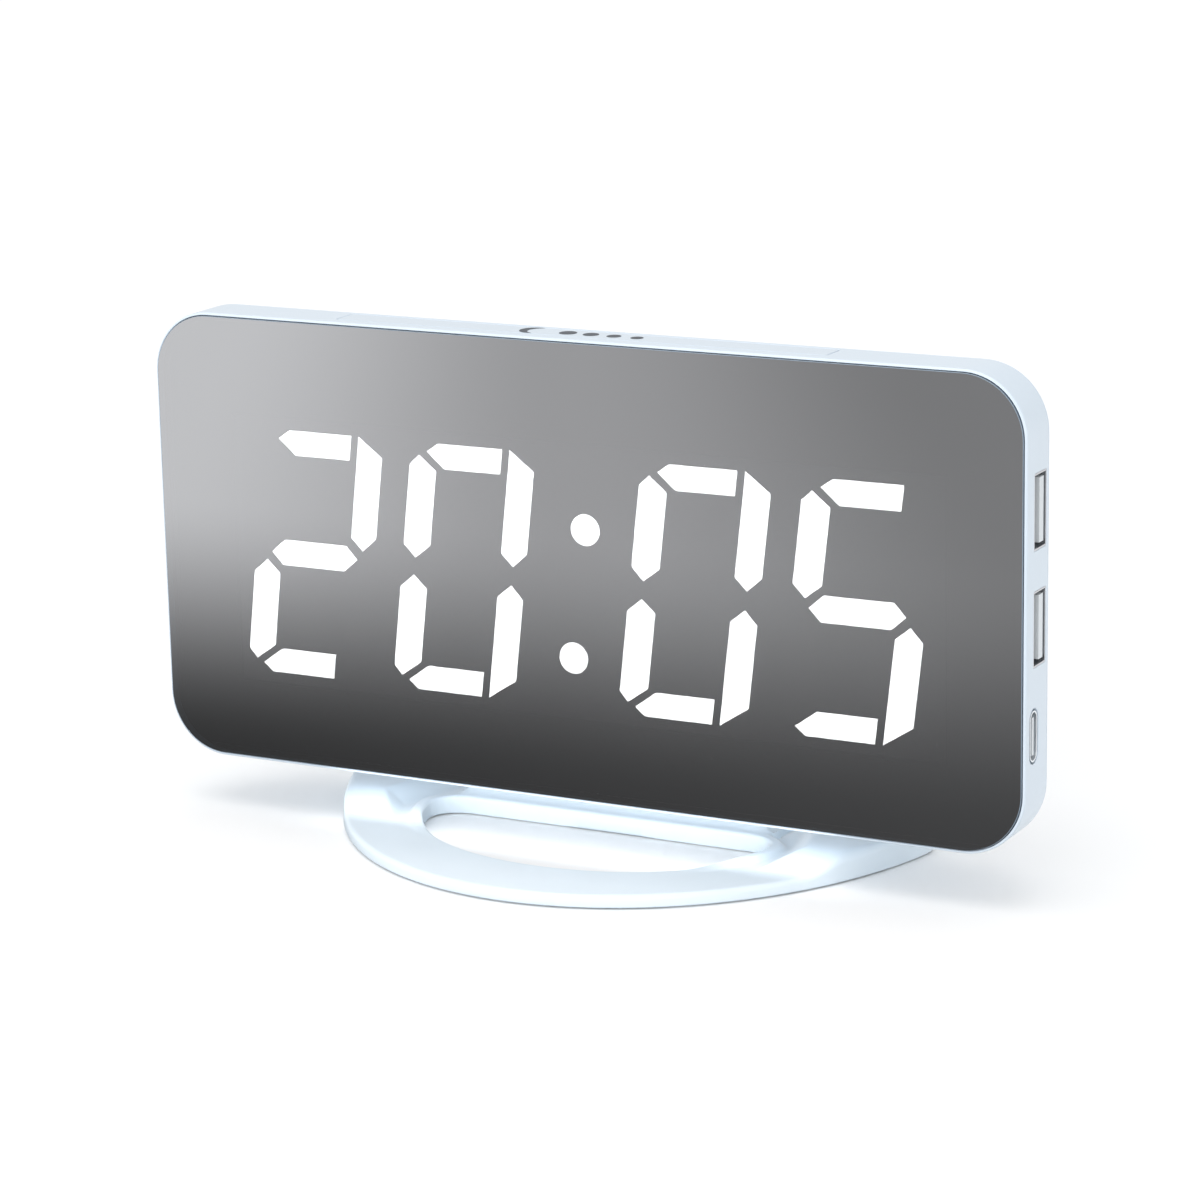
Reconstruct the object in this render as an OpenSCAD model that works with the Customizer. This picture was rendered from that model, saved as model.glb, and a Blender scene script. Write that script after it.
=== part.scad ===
// Mirror-faced LED alarm clock on a detachable half-moon stand.
// Millimetres, +Z up. The clock faces -Y. The origin is on the table, midway across the
// clock and directly under the front face of its mirror.

/* [Housing] */
// Width of the housing
body_w = 171; // [168:1:176]
// Height of the housing
body_h = 83.6; // [82:0.2:88]
// Height of the housing's underside above the table
body_z = 9.5; // [9:0.1:9.5]
// Radius of the housing's four corners, seen from the front
corner_r = 11.5; // [10:0.5:13]
// Depth of the straight side wall, which is the front frame
side_d = 10; // [10:0.1:10.2]
// Depth of the whole housing, mirror face to back face
body_d = 25; // [25:0.2:26]
// Wall thickness of the front frame and its window plate
wall = 1.8; // [1.6:0.1:1.8]

/* [Mirror and display] */
// Thickness of the mirror panel
mirror_t = 2; // [1.8:0.1:2]
// Rim of the housing left around the mirror
mirror_rim = 0.5; // [0.4:0.1:0.8]
// Height of a digit
digit_h = 45.8; // [40:0.2:46]
// Width of a digit
digit_w = 25.2; // [23:0.2:25.6]
// Width of an upright bar of a digit
bar_w = 5.2; // [4:0.1:5.6]
// Centre-to-centre distance of the two digits of a pair
digit_pitch = 31; // [30:0.5:31]
// Lean of the digits, sideways shift per unit of height
slant = 0.12; // [0:0.01:0.14]

/* [Stand] */
// Width of the half-moon base
base_w = 118; // [112:1:120]
// Thickness of the base's thin front
base_t = 2.6; // [2.2:0.1:3]
// Height of the base's raised back part
base_back_h = 5.5; // [5:0.1:6]
// Width of the neck that carries the clock
neck_w = 60; // [56:1:62]
// Length of the two tongues that plug into the clock
tongue_l = 14; // [10:0.5:14]

/* [Keys] */
// How far a back key stands out of the housing
key_proud = 0.6; // [0.5:0.1:0.8]
// Travel of every key
key_travel = 0.5; // [0.3:0.1:0.5]
// Diameter of a back key
key_d = 6; // [5:0.5:7]

/* [Hidden] */
$fn = 64;
HULL_FN = 32;
EPS = 0.01;

body_top = body_z + body_h;
body_mid = body_z + body_h / 2;

// Layers from the front to the back
seat_gap = 0.1;
tape_y = mirror_t;
tape_t = 0.4;
plate_y = tape_y + tape_t;
plate_t = 1.6;
reflector_y = 2.35;
reflector_d = 6.05;
lens_t = 1.2;
film_t = 0.15;
display_board_y = reflector_y + reflector_d;
board_t = 1.2;
main_board_y = 14;
back_wall = 1.6;
back_inner = body_d - back_wall;

// Display
display_z = 49.2;
pair_gap = 46;
digit_x = [-pair_gap / 2 - digit_pitch, -pair_gap / 2, pair_gap / 2, pair_gap / 2 + digit_pitch];
LIT = [[1, 1, 0, 1, 1, 0, 1], [1, 1, 1, 1, 1, 1, 0], [1, 1, 1, 1, 1, 1, 0], [1, 0, 1, 1, 0, 1, 1]];
// Dots of the colon, which sits a little below the digits' middle
dot_r = 2.85;
dot_dz = 11.75;
colon_x = 0.5;
colon_z = display_z - 2;
reflector_w = 140.6;
reflector_h = 49.8;
board_top = 78.2;
board_low = 19.6;
board_tab = [128, 16];
tab_top = 85.8;

// Housing screws, from the back
screw_x = 68;
screw_z = [21, 81.6];
// Display board screws
display_screw_x = 50;
display_screw_z = [21.7, 76.6];
// Main board and its screws
main_w = 106;
main_low = 28.5;
main_top = 82;
main_screw_x = 50;
main_screw_z = [32.5, 78];

// Side ports
port_z = [69, 48.9];
usb_w = 13.1;
usb_t = 5.5;
usb_l = 13;
usb_sheet = 0.3;
usb_y = 3.7;
usb_tip = 0.1;
tongue_w = 11.1;
power_y = 2.5;
power_z = 30.5;
power_w = 8.94;
power_t = 3.26;
power_l = 7;
port_face = body_w / 2 - 0.1;
port_board_x = [70.9, 83.4];
port_board_z = [25, 77.8];
port_clear = 0.15;
power_clear = 0.4;
clamp_x = [74.5, 77.5];

// Top key
snooze_w = 96;
snooze_d = 5.6;
snooze_y = 6;
snooze_gap = 0.2;
key_gap = 0.25;
flange = 0.8;
flange_t = 1;
snooze_switch_top = 86.6;

// Back keys, left to right as seen from behind
KEYS = ["mode", "up", "down", "alarm", "dim"];
key_x = [24, 12, 0, -12, -24];
key_z = 74;
switch_h = 3.4;
stem_r = 1.7;

// Coin cell bay and its lid
cell_r = 10;
cell_t = 3.2;
bay_z = 46;
bay_w = 25;
bay_h = 26;
bay_wall = 1.2;
lid_t = 1.5;
lid_gap = 0.3;
hinge_y = body_d - lid_t / 2;
hinge_z = bay_z + bay_h / 2 - lid_gap - lid_t / 2;
pin_r = 0.55;
pin_gap = 0.1;

// Hanging slots
keyhole_x = 58;
keyhole_z = 62;
keyhole_r = 4;
keyhole_slot_r = 2;
keyhole_rise = 7;

// Stand
arc_b = 70;
arc_y = 40;
base_back_y = 30;
base_low = 0.25;
hole_a = 34.4;
hole_b = 25.8;
hole_y = 10.2;
hole_back = 12.8;
lip_w = 2.8;
lip_h = 3.6;
lip_rise = [-8, 0];
wing_foot = [[36, -3], [50, -3], [58, 12], [60, base_back_y], [33, base_back_y], [38.5, 6]];
wing_crest = [[43, 6], [50, 6], [54, 15], [54.5, base_back_y], [37, base_back_y], [42, 12]];
neck_y = [15.2, 23];
neck_step = 2;
neck_top = 11;
tongue_x = 20;
tongue_size = [14, 3];
tongue_y = 17.5;
socket_gap = 0.2;
socket_wall = 1.6;
pad_r = 4;
pad_t = 0.9;
PADS = [[-25.5, -15], [25.5, -15], [-46, 19], [46, 19]];
plinth_flare = 3;

shell_color = [0.87, 0.93, 0.97];
stand_color = [0.88, 0.94, 0.98];

// ---------- helpers ----------

// Turns a drawing in X and Z into a solid between two depths
module between(y0, y1) {
    translate([0, y1, 0]) rotate([90, 0, 0]) linear_extrude(y1 - y0) children();
}

// A round bar along Y
module bar_y(x, z, r, y0, y1) {
    translate([x, y0, z]) rotate([-90, 0, 0]) cylinder(r = r, h = y1 - y0);
}

// A box given by its low and high corners
module box(low, high) {
    translate(low) cube(high - low);
}

module rounded_rect(w, h, r) {
    square([w - 2 * r, h], center = true);
    square([w, h - 2 * r], center = true);
    for (x = [-1, 1], z = [-1, 1])
        translate([x * (w / 2 - r), z * (h / 2 - r)]) circle(r);
}

module housing_outline(inset) {
    translate([0, body_mid]) rounded_rect(body_w - 2 * inset, body_h - 2 * inset, corner_r - inset);
}

module pan_screw(x, z, r, head_r, y_tip, y_head, head_t) {
    difference() {
        union() {
            bar_y(x, z, r, y_tip, y_head + EPS);
            bar_y(x, z, head_r, y_head, y_head + head_t);
        }
        for (turn = [0, 90])
            translate([x, y_head + head_t, z]) rotate([0, turn, 0])
                cube([head_r * 1.3, head_t, head_r * 0.28], center = true);
    }
}

// A tube of radius r through the points, which lie in one plane of constant Z
module flat_tube(points, r, sides = 10) {
    n = len(points);
    function heading(i) =
        let (a = points[max(i - 1, 0)], b = points[min(i + 1, n - 1)]) (b - a) / norm(b - a);
    rings = [for (i = [0 : n - 1])
        let (h = heading(i), side = [-h.y, h.x, 0])
            for (s = [0 : sides - 1])
                let (a = 360 * s / sides) points[i] + r * (cos(a) * side + sin(a) * [0, 0, 1])];
    walls = [for (i = [0 : n - 2], s = [0 : sides - 1])
        let (t = (s + 1) % sides)
            [i * sides + s, i * sides + t, (i + 1) * sides + t, (i + 1) * sides + s]];
    ends = [[for (s = [sides - 1 : -1 : 0]) s], [for (s = [0 : sides - 1]) (n - 1) * sides + s]];
    polyhedron(rings, concat(walls, ends), convexity = 4);
}

// ---------- display ----------

half_w = digit_w / 2;
half_h = digit_h / 2;
bar_h = bar_w * 0.88;
inner_x = half_w - bar_w;
chamfer = 3.6;
tip = bar_w / 2;

// Outlines of the seven bars of a digit, a to g, centred on the digit and upright
top_bar = [[-half_w + 3.3, half_h - 1.6], [-half_w + 5.4, half_h], [inner_x - 1.5, half_h],
           [inner_x - 1.5, half_h - bar_h], [-inner_x + 1.9, half_h - bar_h]];
right_bar = [[inner_x, half_h], [half_w, half_h - chamfer], [half_w, tip + 1.6],
             [half_w - tip, 1.7], [inner_x, tip + 1.4]];
left_bar = [[-half_w, tip + 1.4], [-half_w, half_h - 4.1], [-half_w + 1.8, half_h - 2.3],
            [-inner_x + 0.3, half_h - 5.1], [-inner_x + 0.3, tip + 1.4], [-half_w + tip, 1.6]];
middle_bar = [[-half_w + 3.5, 0], [-half_w + 6, 2.4], [half_w - 6.1, 2.4], [half_w - 3.6, 0],
              [half_w - 6.1, -2.4], [-half_w + 6, -2.4]];

function flipped(points) = [for (p = points) [p.x, -p.y]];
SEGMENTS = [top_bar, right_bar, flipped(right_bar), flipped(top_bar), flipped(left_bar),
            left_bar, middle_bar];
function leaned(points) = [for (p = points) [p.x + slant * p.y, p.y]];

module segment(digit, i) {
    translate([digit_x[digit], display_z]) polygon(leaned(SEGMENTS[i]));
}

DOTS = [for (s = [-1, 1]) [colon_x + slant * s * dot_dz, colon_z + s * dot_dz]];

module colon() {
    for (p = DOTS) translate(p) circle(dot_r);
}

module segments(lit) {
    for (d = [0 : 3], i = [0 : 6])
        if (LIT[d][i] == lit) segment(d, i);
    if (lit == 1) colon();
}

module segments_lit() {
    color([1, 1, 1]) between(reflector_y, reflector_y + lens_t) segments(1);
}

module segments_unlit() {
    color([0.75, 0.77, 0.8]) between(reflector_y, reflector_y + lens_t) segments(0);
}

module reflector_housing() {
    color([0.12, 0.12, 0.13]) difference() {
        between(reflector_y, display_board_y)
            translate([0, display_z]) square([reflector_w, reflector_h], center = true);
        between(reflector_y - 1, display_board_y + 1) {
            segments(0);
            segments(1);
        }
    }
}

// Middle of the rectangle that bounds an outline
function middle(points) =
    [for (k = [0, 1]) let (v = [for (p = points) p[k]]) (max(v) + min(v)) / 2];

// Half the spacing of a bar's two LEDs, in level and in upright bars
led_pair = [3.5, 4.5];
led_size = [2, 0.8, 1.2];

module led_chips() {
    color([0.95, 0.9, 0.55]) {
        for (d = [0 : 3], i = [0 : 6]) {
            c = middle(leaned(SEGMENTS[i]));
            upright = i == 1 || i == 2 || i == 4 || i == 5;
            for (s = [-1, 1])
                led([digit_x[d] + c.x + (upright ? s * led_pair.y * slant : s * led_pair.x),
                     display_z + c.y + (upright ? s * led_pair.y : 0)]);
        }
        for (p = DOTS) led(p);
    }
}

module led(place) {
    translate([place.x - led_size.x / 2, display_board_y - led_size.y, place.y - led_size.z / 2])
        cube(led_size);
}

module display_board() {
    color([0.93, 0.94, 0.92]) difference() {
        between(display_board_y, display_board_y + board_t) {
            translate([-reflector_w / 2, board_low + 4]) square([reflector_w, board_top - board_low - 4]);
            translate([-board_tab[0] / 2, board_low]) square([board_tab[0], 5]);
            translate([-board_tab[1] / 2, board_top - 1]) square([board_tab[1], tab_top - board_top + 1]);
        }
        for (x = [-1, 1], z = display_screw_z)
            bar_y(x * display_screw_x, z, 1.1, display_board_y - 1, display_board_y + board_t + 1);
    }
}

module display_screws() {
    color([0.7, 0.7, 0.72])
        for (x = [-1, 1], z = display_screw_z)
            pan_screw(x * display_screw_x, z, 0.8, 1.8, plate_y + plate_t + 0.3,
                      display_board_y + board_t, 1.2);
}

module diffuser_film() {
    color([0.9, 0.9, 0.9, 0.6]) between(reflector_y - film_t - 0.02, reflector_y - 0.02)
        translate([0, display_z]) square([reflector_w, reflector_h], center = true);
}

// ---------- mirror ----------

module mirror_panel() {
    color([0.45, 0.46, 0.48]) between(0, mirror_t) housing_outline(mirror_rim + seat_gap);
}

module mirror_tape() {
    color([0.1, 0.1, 0.1]) between(tape_y, plate_y) difference() {
        housing_outline(mirror_rim + seat_gap);
        display_window();
    }
}

module display_window() {
    translate([0, display_z]) square([reflector_w + 0.6, reflector_h + 0.6], center = true);
}

// ---------- front frame ----------

module port_window() {
    translate([port_board_x[0] - 0.3, port_board_z[0] - 0.3])
        square([port_board_x[1] - port_board_x[0] + 0.5, port_board_z[1] - port_board_z[0] + 0.6]);
}

module power_outline(grow) {
    r = power_t / 2 + grow;
    square([power_t + 2 * grow, power_w - power_t], center = true);
    for (s = [-1, 1]) translate([0, s * (power_w - power_t) / 2]) circle(r);
}

module side_port_cuts() {
    for (z = port_z)
        box([body_w / 2 - wall - 1, usb_y - port_clear, z - usb_w / 2 - port_clear],
            [body_w / 2 + 1, usb_y + usb_t + port_clear, z + usb_w / 2 + port_clear]);
    translate([body_w / 2 - wall - 1, power_y + power_t / 2, power_z]) rotate([90, 0, 90])
        linear_extrude(wall + 2) power_outline(power_clear);
}

module front_frame() {
    color(shell_color) difference() {
        union() {
            between(0.25, side_d) difference() {
                housing_outline(0);
                housing_outline(wall);
            }
            between(plate_y, plate_y + plate_t) difference() {
                housing_outline(wall - EPS);
                display_window();
                port_window();
            }
            for (x = [-1, 1], z = screw_z)
                bar_y(x * screw_x, z, 3, plate_y + plate_t - EPS, side_d);
            for (x = [-1, 1], z = display_screw_z)
                bar_y(x * display_screw_x, z, 2, plate_y + plate_t - EPS, display_board_y);
        }
        // Seat of the mirror and its tape
        between(-1, plate_y) housing_outline(mirror_rim);
        for (x = [-1, 1], z = screw_z)
            bar_y(x * screw_x, z, 1.05, plate_y + plate_t + 0.5, side_d + 1);
        for (x = [-1, 1], z = display_screw_z)
            bar_y(x * display_screw_x, z, 0.8, plate_y + plate_t, display_board_y + 1);
        side_port_cuts();
        // Slot of the top key
        box([-snooze_w / 2 - snooze_gap, snooze_y - snooze_d / 2 - snooze_gap, body_top - wall - EPS],
            [snooze_w / 2 + snooze_gap, snooze_y + snooze_d / 2 + snooze_gap, body_top + 1]);
        // Room for the key's flange to travel
        box([-snooze_w / 2 - flange - snooze_gap, snooze_y - snooze_d / 2 - snooze_gap,
             body_top - wall - 2.4],
            [snooze_w / 2 + flange + snooze_gap, snooze_y + snooze_d / 2 + snooze_gap, body_top - wall]);
    }
}

// ---------- rear shell ----------

// Depth and inset of the layers that the rounded back is drawn through
BACK = [[side_d, 0], [side_d + 3.6, 2.1], [side_d + 8, 4.8], [side_d + 12, 7.4], [body_d, 10]];

module back_form(layers, grow_inset) {
    hull() for (l = layers) {
        w = body_w / 2 - l[1] - grow_inset - corner_r;
        h = body_h / 2 - l[1] - grow_inset - corner_r;
        for (x = [-1, 1], z = [-1, 1])
            translate([x * w, l[0], body_mid + z * h]) rotate([-90, 0, 0])
                cylinder(r = corner_r, h = EPS, $fn = HULL_FN);
    }
}

// The cavity follows the outside one wall further in, and stops at the back wall
CAVITY = [[side_d - 1, 0], [side_d + 3, 2.1], [side_d + 7.2, 4.8], [side_d + 11, 7.4],
          [back_inner, 9.2]];

module rear_shell() {
    color(shell_color) difference() {
        union() {
            difference() {
                back_form(BACK, 0);
                back_form(CAVITY, wall);
            }
            intersection() {
                back_form(BACK, 0);
                union() {
                    screw_bosses();
                    main_board_bosses();
                    bay_box();
                    tongue_sockets();
                    port_clamps();
                }
            }
            plinth();
        }
        for (x = [-1, 1], z = screw_z) {
            bar_y(x * screw_x, z, 1.5, side_d - 1, body_d + 1);
            bar_y(x * screw_x, z, 2.7, side_d + 6, body_d + 1);
        }
        for (x = [-1, 1], z = main_screw_z)
            bar_y(x * main_screw_x, z, 0.8, main_board_y, back_inner - 1);
        for (x = key_x) bar_y(x, key_z, key_d / 2 + key_gap, back_inner - 1, body_d + 1);
        bay_cut();
        for (x = [-1, 1]) keyhole(x * keyhole_x);
        for (x = [-1, 1])
            box([x * tongue_x - tongue_size.x / 2 - socket_gap, tongue_y - tongue_size.y / 2 - socket_gap,
                 neck_top - 1],
                [x * tongue_x + tongue_size.x / 2 + socket_gap, tongue_y + tongue_size.y / 2 + socket_gap,
                 neck_top + tongue_l + 0.6]);
        sound_holes();
        vent_slots();
    }
}

module screw_bosses() {
    for (x = [-1, 1], z = screw_z) bar_y(x * screw_x, z, 4, side_d, back_inner + EPS);
}

module main_board_bosses() {
    for (x = [-1, 1], z = main_screw_z)
        bar_y(x * main_screw_x, z, 2.5, on_board, back_inner + EPS);
}

bay_floor = back_inner - cell_t - 1.6;
cell_y = bay_floor + 1.6;
cell_z = bay_z - 0.5;

module bay_box() {
    box([-bay_w / 2 - bay_wall, bay_floor, bay_z - bay_h / 2 - bay_wall],
        [bay_w / 2 + bay_wall, back_inner + EPS, bay_z + bay_h / 2 + bay_wall]);
}

module bay_cut() {
    // Opening that the lid fills
    box([-bay_w / 2, body_d - lid_t - 0.2, bay_z - bay_h / 2], [bay_w / 2, body_d + 1, bay_z + bay_h / 2]);
    // Round seat of the cell, with room to tip it out
    bar_y(0, cell_z, cell_r + 0.3, bay_floor + 1.2, body_d);
    box([-4, bay_floor + 1.2, bay_z - bay_h / 2 + 0.6], [4, body_d, bay_z]);
    // Slots for the two contacts
    box([-2.2, bay_floor - 1, bay_z - 3.5], [2.2, bay_floor + 2, bay_z + 1]);
    box([-3.2, bay_floor - 1, cell_z + cell_r - 0.6],
        [3.2, body_d - lid_t - 0.2, cell_z + cell_r + 1.4]);
    // Bores of the hinge pins
    for (x = [-1, 1])
        translate([x * bay_w / 2, hinge_y, hinge_z]) rotate([0, 90, 0])
            cylinder(r = pin_r + pin_gap, h = 2.6, center = true);
}

module keyhole(x) {
    bar_y(x, keyhole_z, keyhole_r, back_inner - 1, body_d + 1);
    bar_y(x, keyhole_z + keyhole_rise, keyhole_slot_r, back_inner - 1, body_d + 1);
    box([x - keyhole_slot_r, back_inner - 1, keyhole_z],
        [x + keyhole_slot_r, body_d + 1, keyhole_z + keyhole_rise]);
}

module tongue_sockets() {
    tube_x = tongue_size.x / 2 + socket_gap + socket_wall;
    tube_y = tongue_size.y / 2 + socket_gap + socket_wall;
    for (x = [-1, 1])
        box([x * tongue_x - tube_x, tongue_y - tube_y, neck_top],
            [x * tongue_x + tube_x, tongue_y + tube_y, neck_top + tongue_l + 0.6 + socket_wall]);
}

// Flared landing under the tapered back, where the neck meets the clock
module plinth() {
    hull() {
        box([-neck_w / 2, neck_y[0], neck_top], [neck_w / 2, neck_y[1], neck_top + 1]);
        box([-neck_w / 2 - plinth_flare, neck_y[0], neck_top + 5.6],
            [neck_w / 2 + plinth_flare, neck_y[1] - 1.6, neck_top + 6.6]);
    }
}

// Ribs that hold the USB sockets against the port board
module port_clamps() {
    for (z = port_z)
        box([clamp_x[0], usb_y + usb_t + 0.2, z - 0.8], [clamp_x[1], side_d + 12.6, z + 0.8]);
}

sound_x = 37;
sound_z = 42;
vent = [1.5, 12];

module sound_holes() {
    bar_y(sound_x, sound_z, 0.8, back_inner - 1, body_d + 1);
    for (i = [0 : 5])
        bar_y(sound_x + 3.4 * cos(60 * i), sound_z + 3.4 * sin(60 * i), 0.8, back_inner - 1, body_d + 1);
}

module vent_slots() {
    for (i = [-2 : 2])
        translate([-sound_x + 4 * i - vent.x / 2, back_inner - 1, sound_z - vent.y / 2])
            cube([vent.x, back_wall + 2, vent.y]);
}

module housing_screws() {
    color([0.62, 0.63, 0.65])
        for (x = [-1, 1], z = screw_z)
            pan_screw(x * screw_x, z, 1.05, 2.4, plate_y + plate_t + 1, side_d + 6, 1.6);
}

// ---------- main board ----------

module main_board() {
    color([0.1, 0.4, 0.22]) difference() {
        box([-main_w / 2, main_board_y, main_low], [main_w / 2, main_board_y + board_t, main_top]);
        for (x = [-1, 1], z = main_screw_z)
            bar_y(x * main_screw_x, z, 1.1, main_board_y - 1, main_board_y + board_t + 1);
    }
}

module main_board_screws() {
    color([0.7, 0.7, 0.72])
        for (x = [-1, 1], z = main_screw_z)
            translate([0, 2 * main_board_y, 0]) mirror([0, 1, 0])
                pan_screw(x * main_screw_x, z, 0.8, 1.8, main_board_y - 6, main_board_y, 1.2);
}

// Face of the main board that carries its parts
on_board = main_board_y + board_t;
chip_x = [-46, -28];
chip_z = [52, 59.5];

module control_chip() {
    color([0.08, 0.08, 0.09]) box([chip_x[0], on_board + 0.2, chip_z[0]], [chip_x[1], on_board + 2.4, chip_z[1]]);
    color([0.75, 0.75, 0.77])
        for (i = [0 : 13], z = chip_z)
            translate([chip_x[0] + 0.6 + 1.27 * i, on_board + 0.6, z]) cube([0.4, 1.2, 2.6], center = true);
}

module board_components() {
    // Electrolytic capacitors
    for (x = [26, 34]) bar_y(x, 60, 3, on_board, on_board + 6.5);
    // Quartz crystal
    color([0.8, 0.8, 0.8]) bar_y(-22, 52, 1.5, on_board, on_board + 6);
    // Coil of the 5 V supply
    color([0.2, 0.2, 0.2]) translate([22, on_board, 46]) cube([7, 3, 7]);
    // Chip resistors and capacitors
    for (i = [0 : 7]) color([0.25, 0.22, 0.2]) translate([-46 + 4 * i, on_board, 63]) cube([2, 0.6, 1.2]);
    for (i = [0 : 4]) color([0.75, 0.65, 0.5]) translate([16 + 4 * i, on_board, 33]) cube([2, 0.8, 1.2]);
}

module buzzer() {
    color([0.1, 0.1, 0.1]) difference() {
        bar_y(sound_x, sound_z, 6, on_board, on_board + 6.6);
        bar_y(sound_x, sound_z, 1.2, on_board + 3, on_board + 8);
    }
}

module ribbon_cable() {
    y0 = display_board_y + board_t + 1;
    y1 = main_board_y - 1;
    bow = 1.6;
    color([0.85, 0.86, 0.9]) translate([-14, 0, 0]) rotate([90, 0, 90]) linear_extrude(12)
        polygon([[y0, 44], [y0 + 0.3, 44], [y0 + 0.3, 46 + bow], [y1 - 0.3, 46 + bow - 0.3],
                 [y1 - 0.3, 44], [y1, 44], [y1, 46.3 + bow], [y0, 46.3 + bow]]);
}

module ribbon_connectors() {
    color([0.92, 0.9, 0.82]) {
        box([-15.5, display_board_y + board_t, 40.5], [-0.5, display_board_y + board_t + 1.8, 44]);
        box([-15.5, main_board_y - 1.8, 40.5], [-0.5, main_board_y, 44]);
    }
}

// Shells of the five tactile switches, each with a bore for its stem
module key_switches() {
    color([0.18, 0.18, 0.19]) for (x = key_x) difference() {
        box([x - 3, on_board, key_z - 3], [x + 3, on_board + switch_h, key_z + 3]);
        bar_y(x, key_z, stem_r + 0.15, on_board + 0.8, on_board + switch_h + 1);
    }
}

module snooze_switch() {
    z = snooze_switch_top - 3.4;
    color([0.18, 0.18, 0.19]) difference() {
        box([-3, display_board_y - 3.6, z], [3, display_board_y, snooze_switch_top - 0.8]);
        translate([0, display_board_y - 1.8, z + 0.6]) cylinder(r = 1.15, h = 6);
    }
}

// ---------- coin cell ----------

module coin_cell() {
    color([0.78, 0.79, 0.8]) {
        bar_y(0, cell_z, cell_r, cell_y + 0.4, cell_y + cell_t - 0.1);
        bar_y(0, cell_z, cell_r - 1.4, cell_y, cell_y + 0.5);
    }
}

leaf_t = 0.3;

// Leaf that rises from the board to the cell's small face
module contact_negative() {
    color([0.85, 0.83, 0.75]) translate([-1.8, 0, cell_z]) rotate([90, 0, 90]) linear_extrude(3.6)
        polygon([[on_board, -3], [on_board + leaf_t, -3], [on_board + leaf_t, -1.5], [cell_y - 0.6, -1.5],
                 [cell_y - 0.02, 0.2], [cell_y - 0.02, 0.7], [cell_y - 0.7, -1.2], [on_board, -1.2]]);
}

// Leaf that rises from the board and presses on the cell's rim from above
module contact_positive() {
    rim = cell_r + 0.02;
    color([0.85, 0.83, 0.75]) translate([-2.8, 0, cell_z]) rotate([90, 0, 90]) linear_extrude(5.6)
        polygon([[on_board, rim], [cell_y + cell_t - 0.6, rim], [cell_y + cell_t - 0.6, rim + leaf_t],
                 [on_board + leaf_t, rim + leaf_t], [on_board + leaf_t, rim + 3], [on_board, rim + 3]]);
}

module battery_lid() {
    color(shell_color) difference() {
        union() {
            box([-bay_w / 2 + lid_gap, body_d - lid_t, bay_z - bay_h / 2 + lid_gap],
                [bay_w / 2 - lid_gap, body_d, hinge_z]);
            translate([0, hinge_y, hinge_z]) rotate([0, 90, 0])
                cylinder(r = lid_t / 2, h = bay_w - 2 * lid_gap, center = true);
            translate([0, hinge_y, hinge_z]) rotate([0, 90, 0])
                cylinder(r = pin_r, h = bay_w + 1.8, center = true);
        }
        // Finger notch
        bar_y(0, bay_z - bay_h / 2, 3, body_d - 0.8, body_d + 1);
    }
}

// ---------- side ports ----------

module port_board() {
    color([0.1, 0.4, 0.22]) difference() {
        box([port_board_x[0], usb_y - board_t, port_board_z[0]], [port_board_x[1], usb_y, port_board_z[1]]);
        // Notch that the power socket sits in
        box([port_face - power_l - 0.1, usb_y - board_t - 1, power_z - power_w / 2 - 0.1],
            [port_face + 1, usb_y + 1, power_z + power_w / 2 + 0.1]);
    }
}

module usb_shell(z) {
    color([0.78, 0.79, 0.81]) difference() {
        box([port_face - usb_l, usb_y, z - usb_w / 2], [port_face, usb_y + usb_t, z + usb_w / 2]);
        box([port_face - usb_l + usb_sheet, usb_y + usb_sheet, z - usb_w / 2 + usb_sheet],
            [port_face + 1, usb_y + usb_t - usb_sheet, z + usb_w / 2 - usb_sheet]);
    }
}

// The tongue lies towards the back of its socket, with its contacts on the front face
usb_tongue_t = 1.84;
usb_tongue_y = usb_y + usb_t - usb_sheet - 0.72 - usb_tongue_t;
contact_x = [port_face - 10, port_face - usb_tip - 1.6];

module usb_tongue(z) {
    back = port_face - usb_l + usb_sheet;
    color([0.95, 0.95, 0.93]) {
        box([back, usb_y + usb_sheet, z - usb_w / 2 + usb_sheet],
            [back + 2.4, usb_y + usb_t - usb_sheet, z + usb_w / 2 - usb_sheet]);
        box([back, usb_tongue_y, z - tongue_w / 2],
            [port_face - usb_tip, usb_tongue_y + usb_tongue_t, z + tongue_w / 2]);
    }
}

module usb_contacts() {
    color([0.88, 0.72, 0.35])
        for (z = port_z, dz = [-3.5, -1.0, 1.0, 3.5])
            box([contact_x[0], usb_tongue_y - 0.15, z + dz - 0.5], [contact_x[1], usb_tongue_y, z + dz + 0.5]);
}

module power_solid(x0, x1, shrink) {
    translate([x0, power_y + power_t / 2, power_z]) rotate([90, 0, 90])
        linear_extrude(x1 - x0) power_outline(-shrink);
}

module power_shell() {
    color([0.78, 0.79, 0.81]) difference() {
        power_solid(port_face - power_l, port_face, 0);
        power_solid(port_face - power_l + usb_sheet, port_face + 1, usb_sheet);
    }
}

module power_tongue() {
    back = port_face - power_l + usb_sheet;
    y = power_y + power_t / 2;
    color([0.1, 0.1, 0.11]) {
        power_solid(back, back + 1.6, usb_sheet);
        box([back + 1, y - 0.35, power_z - 3.3], [port_face - usb_tip, y + 0.35, power_z + 3.3]);
    }
}

wire_r = 0.65;
wire_z = [38, 39.6];
// Route of the power wires in X and Y
WIRE = [[73.5, 6], [73.5, 9], [73.1, 10.4], [72, 11.4], [70.4, 11.9], [66, 12], [60, 12.2],
        [54, 12.2], [50, 12.2]];

module power_wires() {
    for (i = [0, 1])
        color(i ? [0.75, 0.1, 0.08] : [0.1, 0.1, 0.1])
            flat_tube([for (p = WIRE) [p.x, p.y, wire_z[i]]], wire_r);
}

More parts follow.
